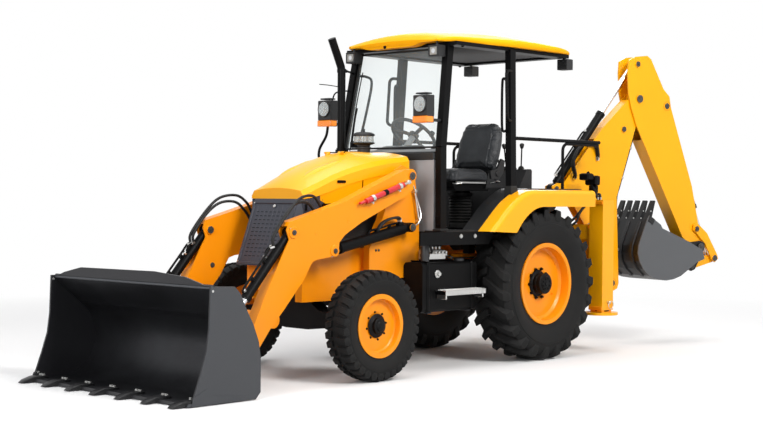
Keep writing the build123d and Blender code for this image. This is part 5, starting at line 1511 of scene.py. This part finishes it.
# each hoe ram: a pipe down the barrel, ports and a grease nipple
ramList = [
    {"name": "boomRam", "body": "boom_barrel", "base": (-0.060, 0.900), "tip": (0.265, 1.936),
     "radius": 0.035, "end": 0.602, "side": -1},
    {"name": "dipperRam", "body": "dipper_barrel", "base": (-0.490, 1.400), "tip": (0.405, 2.523),
     "radius": 0.036, "end": 0.485, "side": 1},
    {"name": "tipRam", "body": "tip_barrel", "base": (0.760, 2.160), "tip": (1.345, 0.768), "radius": 0.038,
     "end": 0.405, "side": -1},
]
for ram in ramList:
    at = hoeRam(ram["base"], ram["tip"])
    r, up = ram["radius"], ram["side"]
    top = 0.62
    pipe = Piece(f"{ram['name']}Pipe", ram["body"], black)
    pipe.sweep(along(at, [(0.135, up * (r + 0.014)), (0.160, up * (r + 0.020)), (0.30, up * (r + 0.018)),
                          (top - 0.10, up * (r + 0.018)), (top - 0.03, up * (r + 0.016)),
                          (top, up * (r - 0.002))]), 0.0080, 10)
    for s in (0.22, 0.44):
        pipe.rod(at(s, up * (r - 0.004)), at(s, up * (r + 0.022)), 0.012, 8, bevel=0.002)
    pipe.done()
    ports = Piece(f"{ram['name']}Ports", ram["body"], zinc)
    ports.fitting(at(0.115, up * (r - 0.004)), at(0.115, up * (r + 0.022)), 0.0145)
    ports.fitting(at(0.110, up * (r + 0.014)), at(0.150, up * (r + 0.016)), 0.0125)
    ports.fitting(at(top + 0.004, up * (r - 0.004)), at(top + 0.004, up * (r + 0.012)), 0.0145)
    ports.rod(at(0.0, -up * 0.038), at(0.0, -up * 0.052), 0.0042, 8, tip=0.003)
    ports.done()

# hose loops beside the dipper ram and at the boom's head
loop = Piece("dipperRamHoses", "boom_body", hoseRubber)
for w, grow in ((0.080, 0.0), (0.104, 0.020)):
    loop.sweep(along(hoePlace, [(-0.300, 1.490, w - 0.030), (-0.315, 1.520, w),
                                (-0.345, 1.620 + grow, w + 0.010), (-0.290, 1.735 + grow, w + 0.012),
                                (-0.180, 1.790 + grow, w + 0.006), (-0.080, 1.770 + grow, w - 0.006),
                                (-0.045, 1.700, w - 0.020), (-0.040, 1.660, w - 0.034)]), 0.0105, 10, 8)
loop.done()
loopEnds = Piece("dipperRamFittings", "boom_body", zinc)
for w in (0.080, 0.104):
    loopEnds.fitting(hoePlace(-0.300, 1.486, w - 0.030), hoePlace(-0.306, 1.506, w - 0.012), 0.0125)
    loopEnds.fitting(hoePlace(-0.040, 1.652, w - 0.036), hoePlace(-0.042, 1.684, w - 0.026), 0.0125)
loopEnds.done()
headHoses = Piece("boomHeadHoses", "boom_body", hoseRubber)
for w in (-0.030, -0.010, 0.010, 0.030):
    headHoses.sweep(along(hoePlace, [(0.441, 2.000, w), (0.462, 2.050, w), (0.470, 2.100, w * 0.9),
                                     (0.440, 2.150, w * 0.8)]), 0.0095, 10)
headHoses.done()

# dipper
hoePins("dipperPins", "dipper_body", [(0.430, 2.212, 0.0785, 0.034), (0.405, 2.523, 0.0765, 0.024),
                                      (0.760, 2.160, 0.0705, 0.026), (1.115, 1.042, 0.1005, 0.024)])
dipperPipes = Piece("dipperPipes", "dipper_body", black)
dipperPipes.sweep([hoePlace(u, z, -0.0765) for u, z in ((0.560, 2.090), (0.600, 2.020), (0.700, 1.830),
                                                        (0.820, 1.600))], 0.0065, 8)
dipperPipes.done()
dipperHoses = Piece("dipperHoses", "dipper_body", hoseRubber)
dipperHoses.sweep(along(hoePlace, [(0.560, 2.094, -0.0790), (0.540, 2.170, -0.0860), (0.570, 2.290, -0.0850),
                                   (0.660, 2.330, -0.070), (0.745, 2.270, -0.050), (0.775, 2.225, -0.030)]),
                  0.0100, 10, 8)
dipperHoses.done()
dipperWelds = Piece("dipperWelds", "dipper_body", yellowShaded)
for w in (-0.0705, 0.0705):
    dipperWelds.band(-0.0015, 0.0015, 0.052, 0.0565, hoePlace(1.165, 0.875, w), hoeAcross, 36)
    dipperWelds.band(-0.0015, 0.0015, 0.040, 0.0440, hoePlace(0.760, 2.160, w), hoeAcross, 32)
for w in (-0.064, 0.064):
    dipperWelds.sweep([hoePlace(u, z, w) for u, z in ((1.100, 1.2520), (0.900, 1.722), (0.735, 2.121),
                                                      (0.640, 2.232), (0.560, 2.331))], 0.0035, 6, 4)
dipperWelds.done()

# lever, link and hoe bucket
hoePins("leverPins", "lever", [(1.345, 0.768, 0.0965, 0.028)])
hoePins("hoeBucketPins", "bucket_rear", [(1.165, 0.875, 0.1005, 0.034), (1.060, 0.700, 0.1005, 0.026)])
digTrim = Piece("hoeBucketWear", "bucket_rear", toothSteel)
skinLine = [(0.419, 0.629), (0.345, 0.690), (0.300, 0.761), (0.280, 0.830), (0.288, 0.900), (0.330, 1.000),
            (0.382, 1.115)]
for w in (-0.150, 0.0, 0.150):
    rings = []
    for k, (u, z) in enumerate(skinLine):
        a = Vector(skinLine[max(k - 1, 0)])
        b = Vector(skinLine[min(k + 1, len(skinLine) - 1)])
        square = Vector((-(b - a).y, (b - a).x)).normalized()
        if square.x > 0:
            square = -square
        p, q = Vector((u, z)), Vector((u, z)) + square * 0.011
        rings.append(along(hoePlace, [(p.x, p.y, w - 0.020), (p.x, p.y, w + 0.020), (q.x, q.y, w + 0.017),
                                      (q.x, q.y, w - 0.017)]))
    digTrim.loft(rings)
digTrim.done()
digSides = Piece("hoeSideCutters", "bucket_rear", toothSteel)
for way in (-1, 1):
    shape = [(0.412, 1.166), (0.470, 1.130), (0.444, 1.085), (0.392, 1.118)]
    digSides.loft([[hoePlace(u, z, way * w) for u, z in shape] for w in (0.2445, 0.2515)])
digSides.done()
digTeeth = Piece("hoeTeethBolts", "bucket_rear", zinc)
for k in range(5):
    w = -0.200 + 0.100 * k
    digTeeth.rod(hoePlace(0.412, 1.140, w - 0.0285), hoePlace(0.412, 1.140, w + 0.0285), 0.0095, 14,
                 bevel=0.002)
    digTeeth.rod(hoePlace(0.440, 1.205, w - 0.0290), hoePlace(0.440, 1.205, w + 0.0290), 0.0065, 12,
                 bevel=0.001)
digTeeth.done()
print("backhoe made")

# axles, steering ram and prop shaft
under = Piece("axleBolts", "chassis", zinc)
for k in range(10):
    turn = math.tau * k / 10
    under.bolt(place(2.013, 0.105 * math.cos(turn), 0.405 + 0.050 * math.sin(turn)), (-1, 0, 0), 0.013, 0.006)
under.done()
Piece("steerRam", "chassis", black).rod(place(1.985, -0.21, 0.392), place(1.985, 0.21, 0.392), 0.028, 28,
                                        bevel=0.003).done()
trackRod = Piece("steerRods", "chassis", chrome)
for side in (-1, 1):
    trackRod.rod(place(1.985, side * 0.20, 0.392), place(1.985, side * 0.400, 0.392), 0.0125, 18)
    trackRod.fitting(place(1.985, side * 0.400, 0.392), place(1.985, side * 0.425, 0.392), 0.017)
trackRod.done()
shaft = Piece("propShaft", "chassis", castIron)
shaft.rod(place(0.95, 0.0, 0.470), place(1.80, 0.0, 0.430), 0.030, 20, bevel=0.004)
for x, z in ((0.98, 0.4685), (1.77, 0.4315)):
    shaft.rod(place(x - 0.02, 0, z), place(x + 0.02, 0, z), 0.050, 8, bevel=0.006)
shaft.done()
engineBits = Piece("engineTrim", "chassis", castIron)
for k in range(4):
    engineBits.rod(place(1.56 + 0.12 * k, 0.226, 0.985), place(1.56 + 0.12 * k, 0.262, 0.985), 0.024, 14,
                   bevel=0.004)
engineBits.rod(place(1.50, 0.262, 0.985), place(2.00, 0.262, 0.985), 0.020, 16, bevel=0.004)
engineBits.done()
Piece("engineLines", "chassis", hoseRubber).sweep(spots([(1.46, 0.235, 0.80), (1.56, 0.270, 0.83),
                                                         (1.72, 0.275, 0.79), (1.90, 0.265, 0.82),
                                                         (2.02, 0.24, 0.86)]), 0.013, 10).done()
print("axles made")

# light, floor and sky
def shownRays(maker):
    rays = [maker.node("ShaderNodeLightPath", out=f"Is {kind} Ray")
            for kind in ("Camera", "Glossy", "Transmission")]
    return (rays[0] + rays[1] + rays[2]).clamped()


scene.world = bpy.data.worlds.new("sky")
scene.world.use_nodes = True
sky = Material("sky", scene.world, "ShaderNodeOutputWorld")
height = sky.node("ShaderNodeSeparateXYZ", {0: sky.node("ShaderNodeTexCoord", out="Generated")},
                  out="Z").ramp(-1.0, 1.0)
skyTint = sky.mix(height.ramp(0.30, 0.85), tint(0.42, 0.42, 0.44), tint(1.0, 1.0, 1.0))
glow = sky.node("ShaderNodeBackground", {"Color": skyTint, "Strength": 0.50})
backdrop = sky.node("ShaderNodeBackground", {"Color": tint(1, 1, 1), "Strength": 1.0})
sky.finish(sky.node("ShaderNodeMixShader", {0: shownRays(sky), 1: glow, 2: backdrop}))


def areaLight(name, at, aim, size, power, colour=(1, 1, 1)):
    lamp = bpy.data.lights.new(name, "AREA")
    lamp.size = size
    lamp.energy = power
    lamp.color = colour
    made = bpy.data.objects.new(name, lamp)
    made.location = at
    made.rotation_euler = (Vector(aim) - Vector(at)).to_track_quat("-Z", "Y").to_euler()
    scene.collection.objects.link(made)


areaLight("keyLight", (1.0, 9.5, 7.5), (0.0, 0, 0.9), 4.0, 1060, (1.0, 0.985, 0.96))
areaLight("topLight", (0.5, 0.0, 8.5), (0.2, 0, 0.0), 6.0, 330)
areaLight("frontLight", (10.0, 2.5, 3.6), (0.6, 0, 0.8), 4.0, 420, (0.98, 0.99, 1.0))
areaLight("backLight", (-7.0, -5.0, 5.5), (0, 0, 1.5), 4.0, 260)

floorMaterial = Material("floorWhite")
here = floorMaterial.node("ShaderNodeTexCoord", out="Object")
distance = floorMaterial.node("ShaderNodeVectorMath", {0: here}, out="Value", operation="LENGTH")
far = distance.ramp(3.6, 8.5).clamped()
looked = shownRays(floorMaterial)
near = floorMaterial.node("ShaderNodeBsdfDiffuse",
                          {"Color": floorMaterial.mix(looked, tint(0.45, 0.45, 0.46),
                                                      tint(0.80, 0.80, 0.805))})
white = floorMaterial.node("ShaderNodeEmission", {"Color": tint(1, 1, 1), "Strength": 1.0})
floorMaterial.finish(floorMaterial.node("ShaderNodeMixShader", {0: far * looked, 1: near, 2: white}))
floorData = bpy.data.meshes.new("floor")
floorData.from_pydata([(-60, -60, 0), (60, -60, 0), (60, 60, 0), (-60, 60, 0)], [], [(0, 1, 2, 3)])
floorData.materials.append(floorMaterial.material)
floor = bpy.data.objects.new("floor", floorData)
scene.collection.objects.link(floor)
scene.view_settings.view_transform = "Standard"
scene.view_settings.look = "None"
